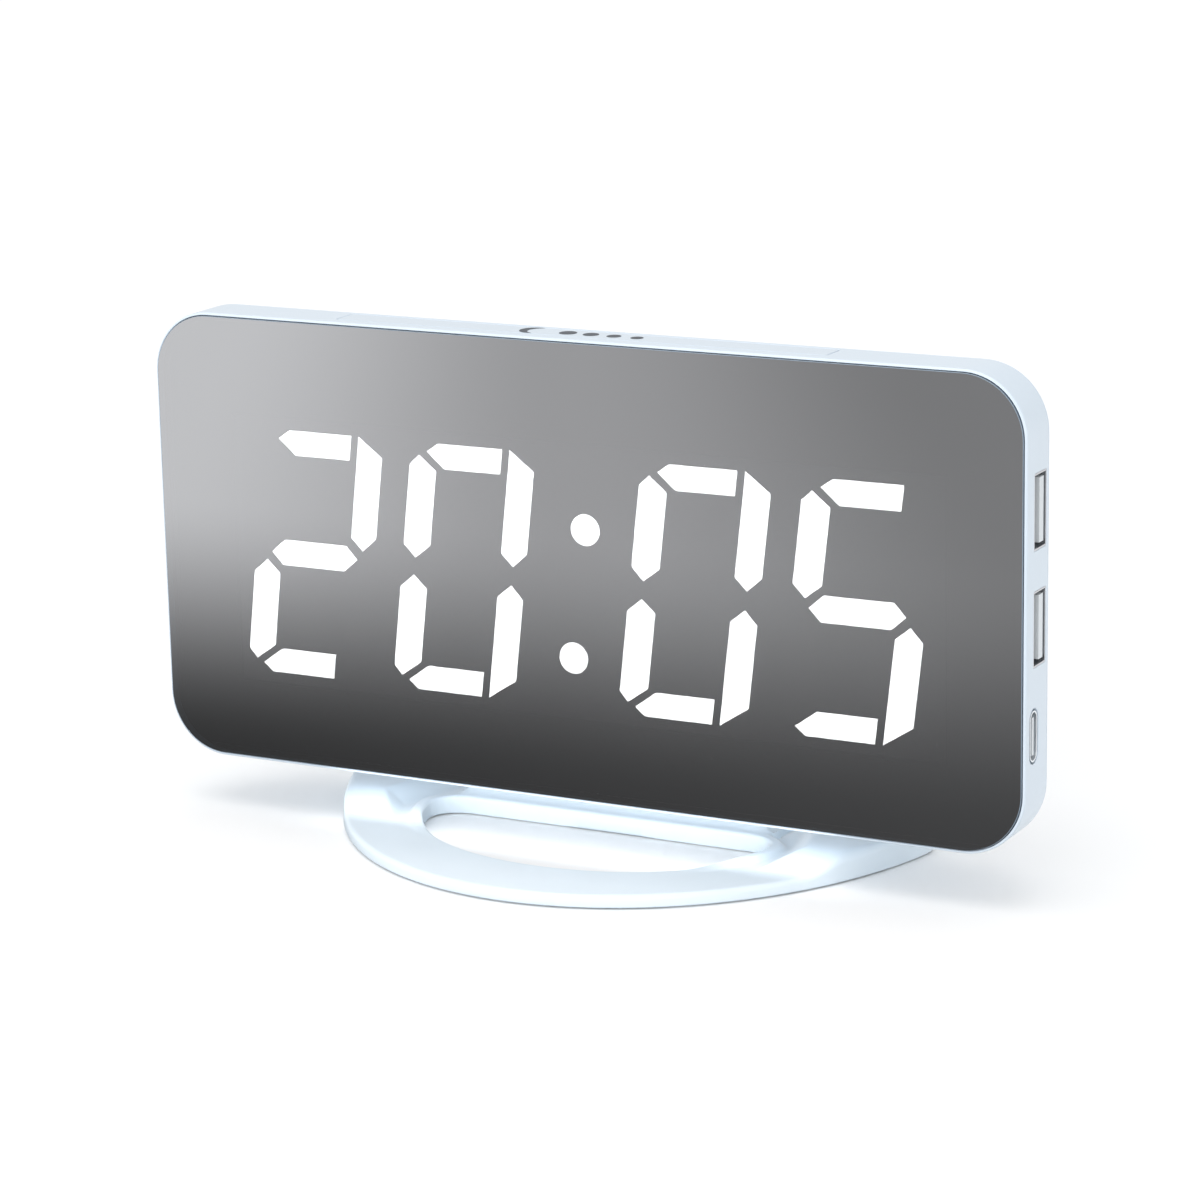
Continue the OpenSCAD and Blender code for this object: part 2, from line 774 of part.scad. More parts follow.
module wire_connectors() {
    color([0.92, 0.9, 0.82]) {
        box([71.6, usb_y, 36.6], [75.6, 6, 41]);
        box([45.5, main_board_y - 3.4, 36.6], [50, main_board_y, 41]);
    }
}

// ---------- keys ----------

module snooze_button() {
    z_flange = body_top - wall - 0.15 - flange_t;
    color(shell_color) {
        box([-snooze_w / 2, snooze_y - snooze_d / 2, z_flange],
            [snooze_w / 2, snooze_y + snooze_d / 2, body_top]);
        box([-snooze_w / 2 - flange, snooze_y - snooze_d / 2, z_flange],
            [snooze_w / 2 + flange, snooze_y + snooze_d / 2, z_flange + flange_t]);
        // Rib that reaches down to the switch
        box([-2.5, display_board_y - 2.6, snooze_switch_top + 0.6],
            [2.5, snooze_y + snooze_d / 2, z_flange + EPS]);
    }
}

module snooze_stem() {
    z = snooze_switch_top;
    color([0.7, 0.15, 0.12])
        translate([0, display_board_y - 1.8, z - 1.8]) cylinder(r = 1, h = 2.4);
}

stem_end = on_board + switch_h + 1.5;

module key_button(x) {
    color(shell_color) {
        bar_y(x, key_z, key_d / 2, back_inner - 1.4, body_d + key_proud);
        bar_y(x, key_z, key_d / 2 + 1, back_inner - 1.4, back_inner - 0.2);
        bar_y(x, key_z, 1.6, stem_end, back_inner - 1.4 + EPS);
    }
}

module key_stem(x) {
    color([0.7, 0.15, 0.12]) bar_y(x, key_z, stem_r, on_board + 1.5, stem_end);
}

// ---------- stand ----------

// Half-moon outline: a wide arc in front, straight across at the back
function moon(a, b, y, back, steps = 48) =
    let (reach = acos(max(-1, (y - back) / b)))
        [for (i = [0 : steps]) let (t = -reach + 2 * reach * i / steps) [a * sin(t), y - b * cos(t)]];

module base_outline() {
    offset(r = 5) offset(r = -5) polygon(moon(base_w / 2, arc_b, arc_y, base_back_y));
}

module hole_outline(grow) {
    offset(r = grow + 6) offset(r = -6) polygon(moon(hole_a, hole_b, hole_y, hole_back, 32));
}

// A side view, drawn in Y and Z, drawn out across the whole base
module across(points) {
    translate([-base_w, 0, 0]) rotate([90, 0, 90]) linear_extrude(2 * base_w) polygon(points);
}

// Raised pad at each end of the base, sloping down on every side
module wings() {
    intersection() {
        linear_extrude(10) base_outline();
        for (side = [0, 1]) mirror([side, 0, 0]) hull() {
            translate([0, 0, base_low + 1]) linear_extrude(base_t - base_low - 1) polygon(wing_foot);
            translate([0, 0, base_low + 1]) linear_extrude(base_back_h - base_low - 1) polygon(wing_crest);
        }
    }
}

// Lip around the hole, which fades into the front of the base
module lip() {
    intersection() {
        linear_extrude(10) hole_outline(lip_w);
        across([[lip_rise[0], base_low + 1], [base_back_y, base_low + 1], [base_back_y, lip_h],
                [lip_rise[1], lip_h], [lip_rise[0], base_t]]);
    }
}

module stand_base() {
    color(stand_color) difference() {
        union() {
            translate([0, 0, base_low]) linear_extrude(base_t - base_low) base_outline();
            wings();
            lip();
            box([-neck_w / 2, neck_y[0], base_low + 1], [neck_w / 2, neck_y[1], neck_top]);
            // Step that the neck stands on
            box([-neck_w / 2 - neck_step, hole_back + 1, base_low + 1],
                [neck_w / 2 + neck_step, neck_y[1] + neck_step, lip_h]);
            for (x = [-1, 1])
                box([x * tongue_x - tongue_size.x / 2, tongue_y - tongue_size.y / 2, neck_top - 1],
                    [x * tongue_x + tongue_size.x / 2, tongue_y + tongue_size.y / 2, neck_top + tongue_l]);
        }
        translate([0, 0, -1]) linear_extrude(12) hole_outline(0);
        for (p = PADS) translate([p.x, p.y, -1]) cylinder(r = pad_r, h = pad_t + 1);
    }
}

module foot_pads() {
    color([0.2, 0.2, 0.2])
        for (p = PADS) translate([p.x, p.y, 0]) cylinder(r = pad_r, h = pad_t);
}

// ---------- nodes ----------

stand_base();
foot_pads();
mirror_panel();
mirror_tape();
diffuser_film();
segments_lit();
segments_unlit();
reflector_housing();
led_chips();
display_board();
display_screws();
front_frame();
rear_shell();
housing_screws();
main_board();
main_board_screws();
control_chip();
board_components();
ribbon_cable();
ribbon_connectors();
buzzer();
key_switches();
snooze_switch();
coin_cell();
contact_positive();
contact_negative();
battery_lid();
port_board();
usb_shell(port_z[0]);  // usb_shell_upper
usb_shell(port_z[1]);  // usb_shell_lower
usb_tongue(port_z[0]);  // usb_tongue_upper
usb_tongue(port_z[1]);  // usb_tongue_lower
usb_contacts();
power_shell();
power_tongue();
power_wires();
wire_connectors();
snooze_button();
snooze_stem();
for (i = [0 : len(KEYS) - 1]) {
    key_button(key_x[i]);
    key_stem(key_x[i]);
}
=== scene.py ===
"""Looks for a mirror-faced LED alarm clock on a half-moon stand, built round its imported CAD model.

Everything is in metres in the CAD model's frame: +X to the clock's right, +Y to its back, +Z up.
Sizes that the frame doesn't hold are given in millimetres and turned into metres by mm().
"""

import math

import bmesh
import bpy
import numpy as np
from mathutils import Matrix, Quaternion, Vector


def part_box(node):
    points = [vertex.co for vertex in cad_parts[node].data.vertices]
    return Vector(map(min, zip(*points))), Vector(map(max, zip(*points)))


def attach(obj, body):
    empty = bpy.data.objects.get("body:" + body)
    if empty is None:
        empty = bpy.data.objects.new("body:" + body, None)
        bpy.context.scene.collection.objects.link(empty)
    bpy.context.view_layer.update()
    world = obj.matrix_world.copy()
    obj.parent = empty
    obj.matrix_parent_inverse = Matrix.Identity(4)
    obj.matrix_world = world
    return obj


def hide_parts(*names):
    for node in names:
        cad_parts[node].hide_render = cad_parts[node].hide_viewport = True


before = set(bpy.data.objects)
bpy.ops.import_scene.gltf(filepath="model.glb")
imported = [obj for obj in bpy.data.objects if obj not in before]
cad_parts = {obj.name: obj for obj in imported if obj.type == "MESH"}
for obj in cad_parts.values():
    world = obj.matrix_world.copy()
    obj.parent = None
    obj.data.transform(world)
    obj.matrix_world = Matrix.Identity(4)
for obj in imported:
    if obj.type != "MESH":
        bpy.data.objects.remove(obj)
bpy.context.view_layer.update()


def mm(*values):
    """Millimetres to metres, as one number or as a list of them."""
    return values[0] / 1000 if len(values) == 1 else [v / 1000 for v in values]


# ---------- sizes taken from the frame ----------

front_low, front_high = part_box("front_frame")
mirror_low, mirror_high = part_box("mirror_panel")
display_low, display_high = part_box("reflector_housing")
stand_low, stand_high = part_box("stand_base")
snooze_low, snooze_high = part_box("snooze_button")
lid_low, lid_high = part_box("battery_lid")
screw_low, screw_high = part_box("housing_screws")
cell_low, cell_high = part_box("coin_cell")

BODY_W = front_high.x - front_low.x
BODY_H = front_high.z - front_low.z
BODY_TOP = front_high.z
BODY_MID = (front_low.z + front_high.z) / 2
PART_Y = front_high.y
SEAT_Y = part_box("mirror_tape")[1].y
BACK_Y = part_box("rear_shell")[1].y
CORNER, WALL, BACK_WALL, MIRROR_RIM = mm(11.5, 1.8, 1.6, 0.5)
BACK_IN = BACK_Y - BACK_WALL

# Steps round a quarter turn at the housing's corners
FRAME_STEPS, BACK_STEPS, PLATE_STEPS = 20, 18, 14

# The neck between the stand and the housing, and the two tongues that stand on it
NECK_W, NECK_FRONT, NECK_BACK, NECK_TOP = mm(60, 15.2, 23, 11)
NECK_CORNER = mm(1.2)
TONGUE_X = mm(20)

SNOOZE_FLANGE = mm(0.8)
SNOOZE_MID = (snooze_low.y + snooze_high.y) / 2
LID_T = mm(1.5)
KEYS = ["mode", "up", "down", "alarm", "dim"]
SCREW_HEAD = mm(2.4)
SCREWS = [(x, z) for x in (screw_low.x + SCREW_HEAD, screw_high.x - SCREW_HEAD)
          for z in (screw_low.z + SCREW_HEAD, screw_high.z - SCREW_HEAD)]


# ---------- mesh helpers ----------

def arc(cx, cy, r, start, end, steps):
    """Points of an arc, angles in degrees."""
    turns = [math.radians(start + (end - start) * i / steps) for i in range(steps + 1)]
    return [(cx + r * math.cos(t), cy + r * math.sin(t)) for t in turns]


def circle(cx, cy, r, steps):
    return arc(cx, cy, r, 0, 360, steps)[:-1]


def rounded(w, h, r, steps, cx, cy):
    """Outline of a rounded rectangle, anticlockwise."""
    x, y = w / 2 - r, h / 2 - r
    points = []
    for sx, sy, start in ((1, -1, -90), (1, 1, 0), (-1, 1, 90), (-1, -1, 180)):
        points += arc(cx + sx * x, cy + sy * y, r, start, start + 90, steps)
    return points


def housing_outline(inset, corner, steps):
    """The housing's outline seen from the front, moved inwards by the inset."""
    return rounded(BODY_W - 2 * inset, BODY_H - 2 * inset, corner, steps, 0, BODY_MID)


def along_y(points, y):
    return [Vector((p[0], y, p[1])) for p in points]


def along_z(points, z):
    return [Vector((p[0], p[1], z)) for p in points]


def along_x(points, x):
    return [Vector((x, p[0], p[1])) for p in points]


ALONG = {"x": along_x, "y": along_y, "z": along_z}


def loft(rings, ring_closed=False):
    """A mesh through rings of equally many points: capped at both ends, or closed into a ring."""
    bm = bmesh.new()
    rows = [[bm.verts.new(p) for p in ring] for ring in rings]
    count = len(rows[0])
    pairs = list(zip(rows, rows[1:] + rows[:1])) if ring_closed else list(zip(rows, rows[1:]))
    for a, b in pairs:
        for i in range(count):
            j = (i + 1) % count
            bm.faces.new((a[i], a[j], b[j], b[i]))
    if not ring_closed:
        bm.faces.new(rows[0][::-1])
        bm.faces.new(rows[-1])
    bmesh.ops.recalc_face_normals(bm, faces=bm.faces)
    return bm


def joined(parts):
    """One bmesh holding all of these."""
    whole = bmesh.new()
    for part in parts:
        mesh = bpy.data.meshes.new("part")
        part.to_mesh(mesh)
        whole.from_mesh(mesh)
        bpy.data.meshes.remove(mesh)
        part.free()
    return whole


def to_object(name, bm):
    mesh = bpy.data.meshes.new(name)
    bm.to_mesh(mesh)
    bm.free()
    obj = bpy.data.objects.new(name, mesh)
    bpy.context.scene.collection.objects.link(obj)
    return obj


def combine(obj, tool, operation):
    """Cuts the tool mesh out of obj, or adds it, and leaves the result in obj."""
    other = to_object("tool", tool)
    step = obj.modifiers.new("step", "BOOLEAN")
    step.operation = operation
    step.object = other
    step.solver = "EXACT"
    step.use_self = True
    depsgraph = bpy.context.evaluated_depsgraph_get()
    made = bpy.data.meshes.new_from_object(obj.evaluated_get(depsgraph))
    obj.modifiers.clear()
    old = obj.data
    obj.data = made
    bpy.data.meshes.remove(old)
    bpy.data.objects.remove(other)


def block(low, high, corner, edge, axis="y"):
    """A box with rounded corners across the axis and rounded edges at both of its ends."""
    corner_steps, edge_steps = 6, 4
    least_corner = corner * 0.3
    order = {"x": (1, 2, 0), "y": (0, 2, 1), "z": (0, 1, 2)}[axis]
    lo, hi = [low[k] for k in order], [high[k] for k in order]
    w, h = hi[0] - lo[0], hi[1] - lo[1]
    cx, cy = (hi[0] + lo[0]) / 2, (hi[1] + lo[1]) / 2
    rings = []
    for end, sign in ((lo[2], 1), (hi[2], -1)):
        part = []
        for i in range(edge_steps + 1):
            t = math.pi / 2 * i / edge_steps
            inset, rise = edge * (1 - math.sin(t)), edge * (1 - math.cos(t))
            r = max(corner - inset, least_corner)
            outline = rounded(w - 2 * inset, h - 2 * inset, r, corner_steps, cx, cy)
            part.append(ALONG[axis](outline, end + sign * rise))
        rings += part if sign > 0 else part[::-1]
    return loft(rings)


def turned(profile, centre, axis="y", steps=48):
    """A solid of revolution. The profile is (radius, distance along the axis), from tip to tip."""
    least_r = 1e-6
    return loft([ALONG[axis](circle(*centre, max(r, least_r), steps), d) for r, d in profile])


def plate(points, low, high, axis="y"):
    """A flat outline given thickness."""
    return loft([ALONG[axis](points, low), ALONG[axis](points, high)])


def back_hole(outline, flare=mm(0.25)):
    """Cutter for a hole through the back wall, with a small chamfer round its mouth."""
    inside = BACK_IN - mm(0.6)
    middle = np.mean(outline, axis=0)

    def grown(by):
        out = []
        for p in outline:
            v = np.array(p) - middle
            out.append(tuple(middle + v * (1 + by / max(np.linalg.norm(v), 1e-9))))
        return out

    return loft([along_y(outline, inside), along_y(outline, BACK_Y - flare),
                 along_y(grown(flare), BACK_Y), along_y(grown(flare), BACK_Y + mm(1))])


def dressed(obj, body, materials, stands_for=(), sharp=38):
    """Gives a piece its materials, shading and body, and hides the CAD nodes that it stands for."""
    for m in materials:
        obj.data.materials.append(m)
    obj.data.shade_smooth()
    obj.data.set_sharp_from_angle(angle=math.radians(sharp))
    weighted = obj.modifiers.new("even_normals", "WEIGHTED_NORMAL")
    weighted.keep_sharp = True
    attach(obj, body)
    if stands_for:
        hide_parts(*stands_for)
    return obj


# ---------- materials ----------

def srgb(r, g, b):
    """A colour given as it looks on screen, 0 to 255, as linear light."""
    def line(v):
        v /= 255
        return v / 12.92 if v <= 0.04045 else ((v + 0.055) / 1.055) ** 2.4
    return (line(r), line(g), line(b), 1.0)


def shaded(colour, factor):
    return (colour[0] * factor, colour[1] * factor, colour[2] * factor, 1.0)


SKIN_SCALE = 2200.0
SKIN_DEPTH = mm(0.05)


def material(name, colour, rough, tone=0.04, bump=0.02, metallic=0.0, rough_span=0.08,
             coat=0.0, stretch=(1, 1, 1), tone_scale=60.0):
    """A moulded or metal surface: slow changes of tone and gloss, and a fine skin texture."""
    mat = bpy.data.materials.new(name)
    mat.use_nodes = True
    nodes, links = mat.node_tree.nodes, mat.node_tree.links
    shader = nodes["Principled BSDF"]
    shader.inputs["Metallic"].default_value = metallic
    shader.inputs["Coat Weight"].default_value = coat
    shader.inputs["Coat Roughness"].default_value = 0.12
    place = nodes.new("ShaderNodeTexCoord")
    mapping = nodes.new("ShaderNodeMapping")
    mapping.inputs["Scale"].default_value = stretch
    links.new(place.outputs["Object"], mapping.inputs["Vector"])

    slow = nodes.new("ShaderNodeTexNoise")
    slow.inputs["Scale"].default_value = tone_scale
    slow.inputs["Detail"].default_value = 4
    links.new(mapping.outputs["Vector"], slow.inputs["Vector"])
    tones = nodes.new("ShaderNodeValToRGB")
    tones.color_ramp.elements[0].position = 0.3
    tones.color_ramp.elements[0].color = shaded(colour, 1 - tone)
    tones.color_ramp.elements[1].position = 0.7
    tones.color_ramp.elements[1].color = shaded(colour, min(1 + tone, 1 / max(colour[:3])))
    links.new(slow.outputs["Fac"], tones.inputs["Fac"])
    links.new(tones.outputs["Color"], shader.inputs["Base Color"])

    fine = nodes.new("ShaderNodeTexNoise")
    fine.inputs["Scale"].default_value = SKIN_SCALE
    fine.inputs["Detail"].default_value = 3
    links.new(mapping.outputs["Vector"], fine.inputs["Vector"])
    gloss = nodes.new("ShaderNodeMapRange")
    gloss.inputs["To Min"].default_value = rough - rough_span / 2
    gloss.inputs["To Max"].default_value = rough + rough_span / 2
    links.new(slow.outputs["Fac"], gloss.inputs["Value"])
    links.new(gloss.outputs["Result"], shader.inputs["Roughness"])
    skin = nodes.new("ShaderNodeBump")
    skin.inputs["Strength"].default_value = bump
    skin.inputs["Distance"].default_value = SKIN_DEPTH
    links.new(fine.outputs["Fac"], skin.inputs["Height"])
    links.new(skin.outputs["Normal"], shader.inputs["Normal"])
    return mat


def see_through(mat, alpha):
    mat.node_tree.nodes["Principled BSDF"].inputs["Alpha"].default_value = alpha
    return mat


def glowing(mat, colour, strength):
    shader = mat.node_tree.nodes["Principled BSDF"]
    shader.inputs["Emission Color"].default_value = colour
    shader.inputs["Emission Strength"].default_value = strength
    return mat


def striped(mat, dark, scale):
    """Lays fine stripes across X over a material's tones, for a flat cable."""
    nodes, links = mat.node_tree.nodes, mat.node_tree.links
    shader = nodes["Principled BSDF"]
    wave = nodes.new("ShaderNodeTexWave")
    wave.bands_direction = "X"
    wave.inputs["Scale"].default_value = scale
    mix = nodes.new("ShaderNodeMix")
    mix.data_type = "RGBA"
    links.new(nodes["Texture Coordinate"].outputs["Object"], wave.inputs["Vector"])
    links.new(wave.outputs["Fac"], mix.inputs["Factor"])
    links.new(shader.inputs["Base Color"].links[0].from_socket, mix.inputs["A"])
    mix.inputs["B"].default_value = dark
    links.new(mix.outputs["Result"], shader.inputs["Base Color"])
    return mat


# The shell and the stand are one plastic. The stand's colour is painted lighter than the shell's, as
# painted light on its flat top, and the shell's darker, as painted shade on the housing's top.
ICE = srgb(207, 219, 230)
SHELL = material("shell_plastic_painted_shade", ICE, 0.34, tone=0.012, bump=0.05, coat=0.15)
STAND = material("stand_plastic_painted_light", srgb(222, 234, 243), 0.36, tone=0.015, bump=0.05, coat=0.12)
KEY = material("key_plastic", shaded(ICE, 0.97), 0.3, tone=0.01, bump=0.04, coat=0.1)
PRINT = material("print_ink", srgb(70, 76, 84), 0.55, tone=0.08)
MIRROR = see_through(material("mirror_coat", (0.5, 0.505, 0.515, 1), 0.015, tone=0.01, bump=0.0,
                              metallic=1.0, rough_span=0.01, tone_scale=12), 0.84)
EDGE = material("mirror_edge", srgb(122, 136, 150), 0.3, tone=0.05)
CLEAR = see_through(material("mirror_back", (0.02, 0.02, 0.02, 1), 0.3, tone=0.0, bump=0.0), 0.0)
BLACK = material("black_plastic", (0.012, 0.012, 0.013, 1), 0.6, tone=0.15, bump=0.15)
LIT = glowing(material("lit_lens", (0.9, 0.93, 1.0, 1), 0.4, tone=0.01), (0.97, 0.985, 1.0, 1), 9.0)
MILKY = material("unlit_lens", (0.03, 0.03, 0.032, 1), 0.5, tone=0.1)
FILM = see_through(material("diffuser_film", (0.5, 0.5, 0.52, 1), 0.5, tone=0.05), 0.04)
STEEL = material("screw_steel", (0.52, 0.53, 0.55, 1), 0.34, tone=0.12, metallic=1.0, bump=0.1)
NICKEL = material("socket_nickel", (0.6, 0.61, 0.63, 1), 0.3, tone=0.04, metallic=1.0, bump=0.03,
                  stretch=(1, 1, 8))
# The power socket's nickel is a lighter copy of the USB sockets' nickel: painted light that keeps
# its hollow from looking dark.
NICKEL_PAINTED_LIGHT = material("inlet_nickel_painted_light", (0.84, 0.87, 0.9, 1), 0.42, tone=0.04, metallic=1.0, bump=0.03)
GOLD = material("contact_gold", (0.83, 0.6, 0.22, 1), 0.25, tone=0.08, metallic=1.0)
SOCKET = material("socket_plastic", srgb(214, 220, 224), 0.5, tone=0.04, bump=0.05)
RUBBER = material("pad_rubber", (0.05, 0.05, 0.052, 1), 0.85, tone=0.2, bump=0.3, rough_span=0.1)
MASK_GREEN = material("board_green", (0.02, 0.13, 0.05, 1), 0.35, tone=0.25, tone_scale=400,
                      bump=0.1)
MASK_WHITE = material("board_white", (0.7, 0.71, 0.68, 1), 0.4, tone=0.06, bump=0.1)
CHIP = material("chip_epoxy", (0.02, 0.02, 0.022, 1), 0.65, tone=0.2, bump=0.2)
PHOSPHOR = material("led_phosphor", (0.85, 0.7, 0.2, 1), 0.4, tone=0.1)
PARTS = material("small_parts", (0.1, 0.09, 0.08, 1), 0.5, tone=0.5, tone_scale=300)
RIBBON = striped(material("ribbon_cable", (0.62, 0.63, 0.66, 1), 0.45), (0.3, 0.31, 0.33, 1), 500)
NYLON = material("connector_nylon", (0.72, 0.66, 0.48, 1), 0.5, tone=0.06)
CELL = material("cell_steel", (0.66, 0.67, 0.69, 1), 0.3, tone=0.06, metallic=1.0, bump=0.05,
                stretch=(1, 1, 12))
LEAF = material("contact_leaf", (0.7, 0.66, 0.55, 1), 0.3, tone=0.08, metallic=1.0)
WIRE = material("wire_insulation", (0.35, 0.02, 0.015, 1), 0.5, tone=0.1)
STEM = material("switch_stem", (0.45, 0.03, 0.02, 1), 0.4, tone=0.1)

CAD_FINISH = {
    "mirror_tape": BLACK, "reflector_housing": BLACK, "diffuser_film": FILM, "segments_lit": LIT,
    "segments_unlit": MILKY, "led_chips": PHOSPHOR, "display_board": MASK_WHITE,
    "display_screws": STEEL, "main_board": MASK_GREEN, "port_board": MASK_GREEN,
    "main_board_screws": STEEL, "control_chip": CHIP, "board_components": PARTS,
    "ribbon_cable": RIBBON, "ribbon_connectors": NYLON, "wire_connectors": NYLON, "buzzer": BLACK,
    "key_switches": BLACK, "snooze_switch": BLACK, "coin_cell": CELL, "contact_positive": LEAF,
    "contact_negative": LEAF, "usb_shell_upper": NICKEL, "usb_shell_lower": NICKEL,
    "usb_tongue_upper": SOCKET, "usb_tongue_lower": SOCKET, "usb_contacts": GOLD,
    "power_shell": NICKEL_PAINTED_LIGHT, "power_tongue": SOCKET, "power_wires": WIRE, "snooze_stem": STEM,
    "housing_screws": STEEL, "foot_pads": RUBBER,
}
CAD_FINISH.update({key + "_stem": STEM for key in KEYS})


def finish_cad_nodes():
    for name, mat in CAD_FINISH.items():
        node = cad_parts[name]
        node.data.materials.clear()
        node.data.materials.append(mat)


# ---------- mirror ----------

def make_mirror():
    """A slab with a polished edge. Only its face is silvered; its back lets light through."""
    edge = mm(0.1)
    w, h = mirror_high.x - mirror_low.x, mirror_high.z - mirror_low.z
    r = CORNER - MIRROR_RIM
    front = mirror_low.y
    rings = []
    for inset, y in ((edge, front), (edge * 0.4, front + edge * 0.2), (0, front + edge),
                     (0, mirror_high.y)):
        outline = rounded(w - 2 * inset, h - 2 * inset, r - inset, FRAME_STEPS, 0, BODY_MID)
        rings.append(along_y(outline, y))
    obj = to_object("mirror_slab", loft(rings))
    face_on, edge_on, back_on = 0, 1, 2
    nearly_flat = 0.99
    for face in obj.data.polygons:
        if face.normal.y < -nearly_flat:
            face.material_index = face_on
        elif face.normal.y > nearly_flat:
            face.material_index = back_on
        else:
            face.material_index = edge_on
    return dressed(obj, "clock", [MIRROR, EDGE, CLEAR], ["mirror_panel"], sharp=20)


# ---------- front frame ----------

def port_tool(port, clear, corner, steps):
    """Cutter for a socket's opening in the right-hand wall, chamfered round its mouth.

    Without a corner radius, the opening's ends are round.
    """
    low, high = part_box(port)
    across, up = high.y - low.y + 2 * clear, high.z - low.z + 2 * clear
    if corner is None:
        corner = across / 2 - mm(0.01)
    outline = rounded(across, up, corner, steps, (low.y + high.y) / 2, (low.z + high.z) / 2)
    outside = BODY_W / 2
    flare = mm(0.1)
    off_axis = mm(0.3)
    middle = np.mean(outline, axis=0)
    wide = []
    for p in outline:
        v = np.array(p) - middle
        wide.append(tuple(middle + v + flare * np.sign(v) * (np.abs(v) > off_axis)))
    return loft([along_x(outline, outside - WALL - mm(1)), along_x(outline, outside - flare),
                 along_x(wide, outside), along_x(wide, outside + mm(1))])


def snooze_tool():
    """Cutter for the snooze key's slot in the top wall, with a small chamfer round its mouth."""
    gap, corner, steps = mm(0.2), mm(0.6), 5
    slot = along_z(rounded(snooze_high.x - snooze_low.x - 2 * SNOOZE_FLANGE + 2 * gap,
                           snooze_high.y - snooze_low.y + 2 * gap, corner, steps, 0, SNOOZE_MID), 0)
    chamfer = mm(0.15)
    middle = Vector((0, SNOOZE_MID, 0))

    def ring(grow, z):
        out = []
        for p in slot:
            d = p - middle
            out.append(Vector((p.x + math.copysign(grow, d.x), p.y + math.copysign(grow, d.y), z)))
        return out

    return loft([ring(0, BODY_TOP - WALL - mm(1)), ring(0, BODY_TOP - chamfer),
                 ring(chamfer, BODY_TOP), ring(chamfer, BODY_TOP + mm(1))])


PLATE_T = mm(1.6)
WINDOW_GAP = mm(0.3)


def window_plate():
    """The inner plate behind the mirror, with windows for the display and for the port board."""
    outline = housing_outline(0.95 * WALL, CORNER - WALL, PLATE_STEPS)
    obj = to_object("window_plate", plate(outline, SEAT_Y, SEAT_Y + PLATE_T))
    windows = []
    for name in ("reflector_housing", "port_board"):
        low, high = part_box(name)
        windows.append(block(Vector((low.x - WINDOW_GAP, 0, low.z - WINDOW_GAP)),
                             Vector((high.x + WINDOW_GAP, mm(9), high.z + WINDOW_GAP)),
                             mm(0.5), mm(0.1)))
    combine(obj, joined(windows), "DIFFERENCE")
    flat = bmesh.new()
    flat.from_mesh(obj.data)
    bpy.data.objects.remove(obj)
    return flat


def make_front_frame():
    soft, groove = mm(0.55), mm(0.18)
    front = front_low.y
    profile = [(MIRROR_RIM, SEAT_Y), (MIRROR_RIM, front + mm(0.12)), (MIRROR_RIM * 0.8, front)]
    for degrees in (22, 45, 68, 90):
        turn = math.radians(degrees)
        profile.append((soft - soft * math.sin(turn), front + soft - soft * math.cos(turn)))
    profile += [(0, PART_Y - groove), (groove * 0.4, PART_Y - groove * 0.3), (groove, PART_Y)]
    profile += [(WALL, PART_Y), (WALL, SEAT_Y)]
    rings = [along_y(housing_outline(inset, CORNER - inset, FRAME_STEPS), y)
             for inset, y in profile]
    obj = to_object("frame_shell", loft(rings, ring_closed=True))

    boss_r = mm(3)
    bosses = [turned([(boss_r, SEAT_Y + mm(1.5)), (boss_r, PART_Y)], s) for s in SCREWS]
    combine(obj, joined([window_plate()] + bosses), "UNION")

    usb_clear, usb_corner, power_clear = mm(0.05), mm(0.35), mm(0.4)
    tools = [port_tool("usb_shell_upper", usb_clear, usb_corner, 4),
             port_tool("usb_shell_lower", usb_clear, usb_corner, 4),
             port_tool("power_shell", power_clear, None, 8), snooze_tool()]
    combine(obj, joined(tools), "DIFFERENCE")

    # The walls of the display window are masked black, so that they don't show through the mirror
    reach = 2 * WINDOW_GAP
    for face in obj.data.polygons:
        c = face.center
        if (abs(c.x) < display_high.x + reach
                and display_low.z - reach < c.z < display_high.z + reach
                and c.y < SEAT_Y + PLATE_T + mm(0.01)):
            face.material_index = 1
    return dressed(obj, "clock", [SHELL, BLACK], ["front_frame"])


# ---------- rear shell ----------

# How far the rounded back has closed in, by depth behind the parting line
BACK_CURVE = [mm(0, 0), mm(3.6, 2.1), mm(8, 4.8), mm(12, 7.4), mm(15, 10)]


# How the curve then turns into the flat back: inset, and distance in front of the back
BACK_TURN = [mm(9.5, 0.55), mm(9.85, 0.25), mm(10.5, 0.07), mm(11.4, 0)]

BAY_W, BAY_H, BAY_FRONT, BAY_WALL = mm(25, 26, 18.6, 1.2)
CELL_DROP = mm(0.5)
BAY_Z = cell_low.z + (cell_high.z - cell_low.z) / 2 + CELL_DROP
KEYHOLE_R, KEYHOLE_SLOT_R, KEYHOLE_RISE, KEYHOLE_X, KEYHOLE_Z = mm(4, 2, 7, 58, 62)
KEY_OPENING_R = mm(3.25)
SOUND_X, SOUND_Z, SOUND_R, SOUND_RING = mm(37, 42, 0.8, 3.4)
VENT_X, VENT_Z, VENT_W, VENT_H, VENT_CORNER, VENT_STEP = mm(-37, 42, 1.5, 12, 0.7, 4)


def closing(depth):
    """Smooth curve through the points of BACK_CURVE."""
    depths = [p[0] for p in BACK_CURVE]
    insets = [p[1] for p in BACK_CURVE]
    k = max(i for i in range(len(depths) - 1) if depth >= depths[i] - 1e-9)
    slopes = np.gradient(insets, depths)
    span = depths[k + 1] - depths[k]
    t = (depth - depths[k]) / span
    return float((2 * t**3 - 3 * t**2 + 1) * insets[k]
                 + (t**3 - 2 * t**2 + t) * span * slopes[k]
                 + (3 * t**2 - 2 * t**3) * insets[k + 1]
                 + (t**3 - t**2) * span * slopes[k + 1])


def back_rings(inset, last, steps):
    """Rings from the parting line to the depth `last`, closed in by a further inset."""
    depths = [last * i / steps for i in range(steps + 1)]
    return [along_y(housing_outline(closing(depth) + inset, CORNER, BACK_STEPS), PART_Y + depth)
            for depth in depths]


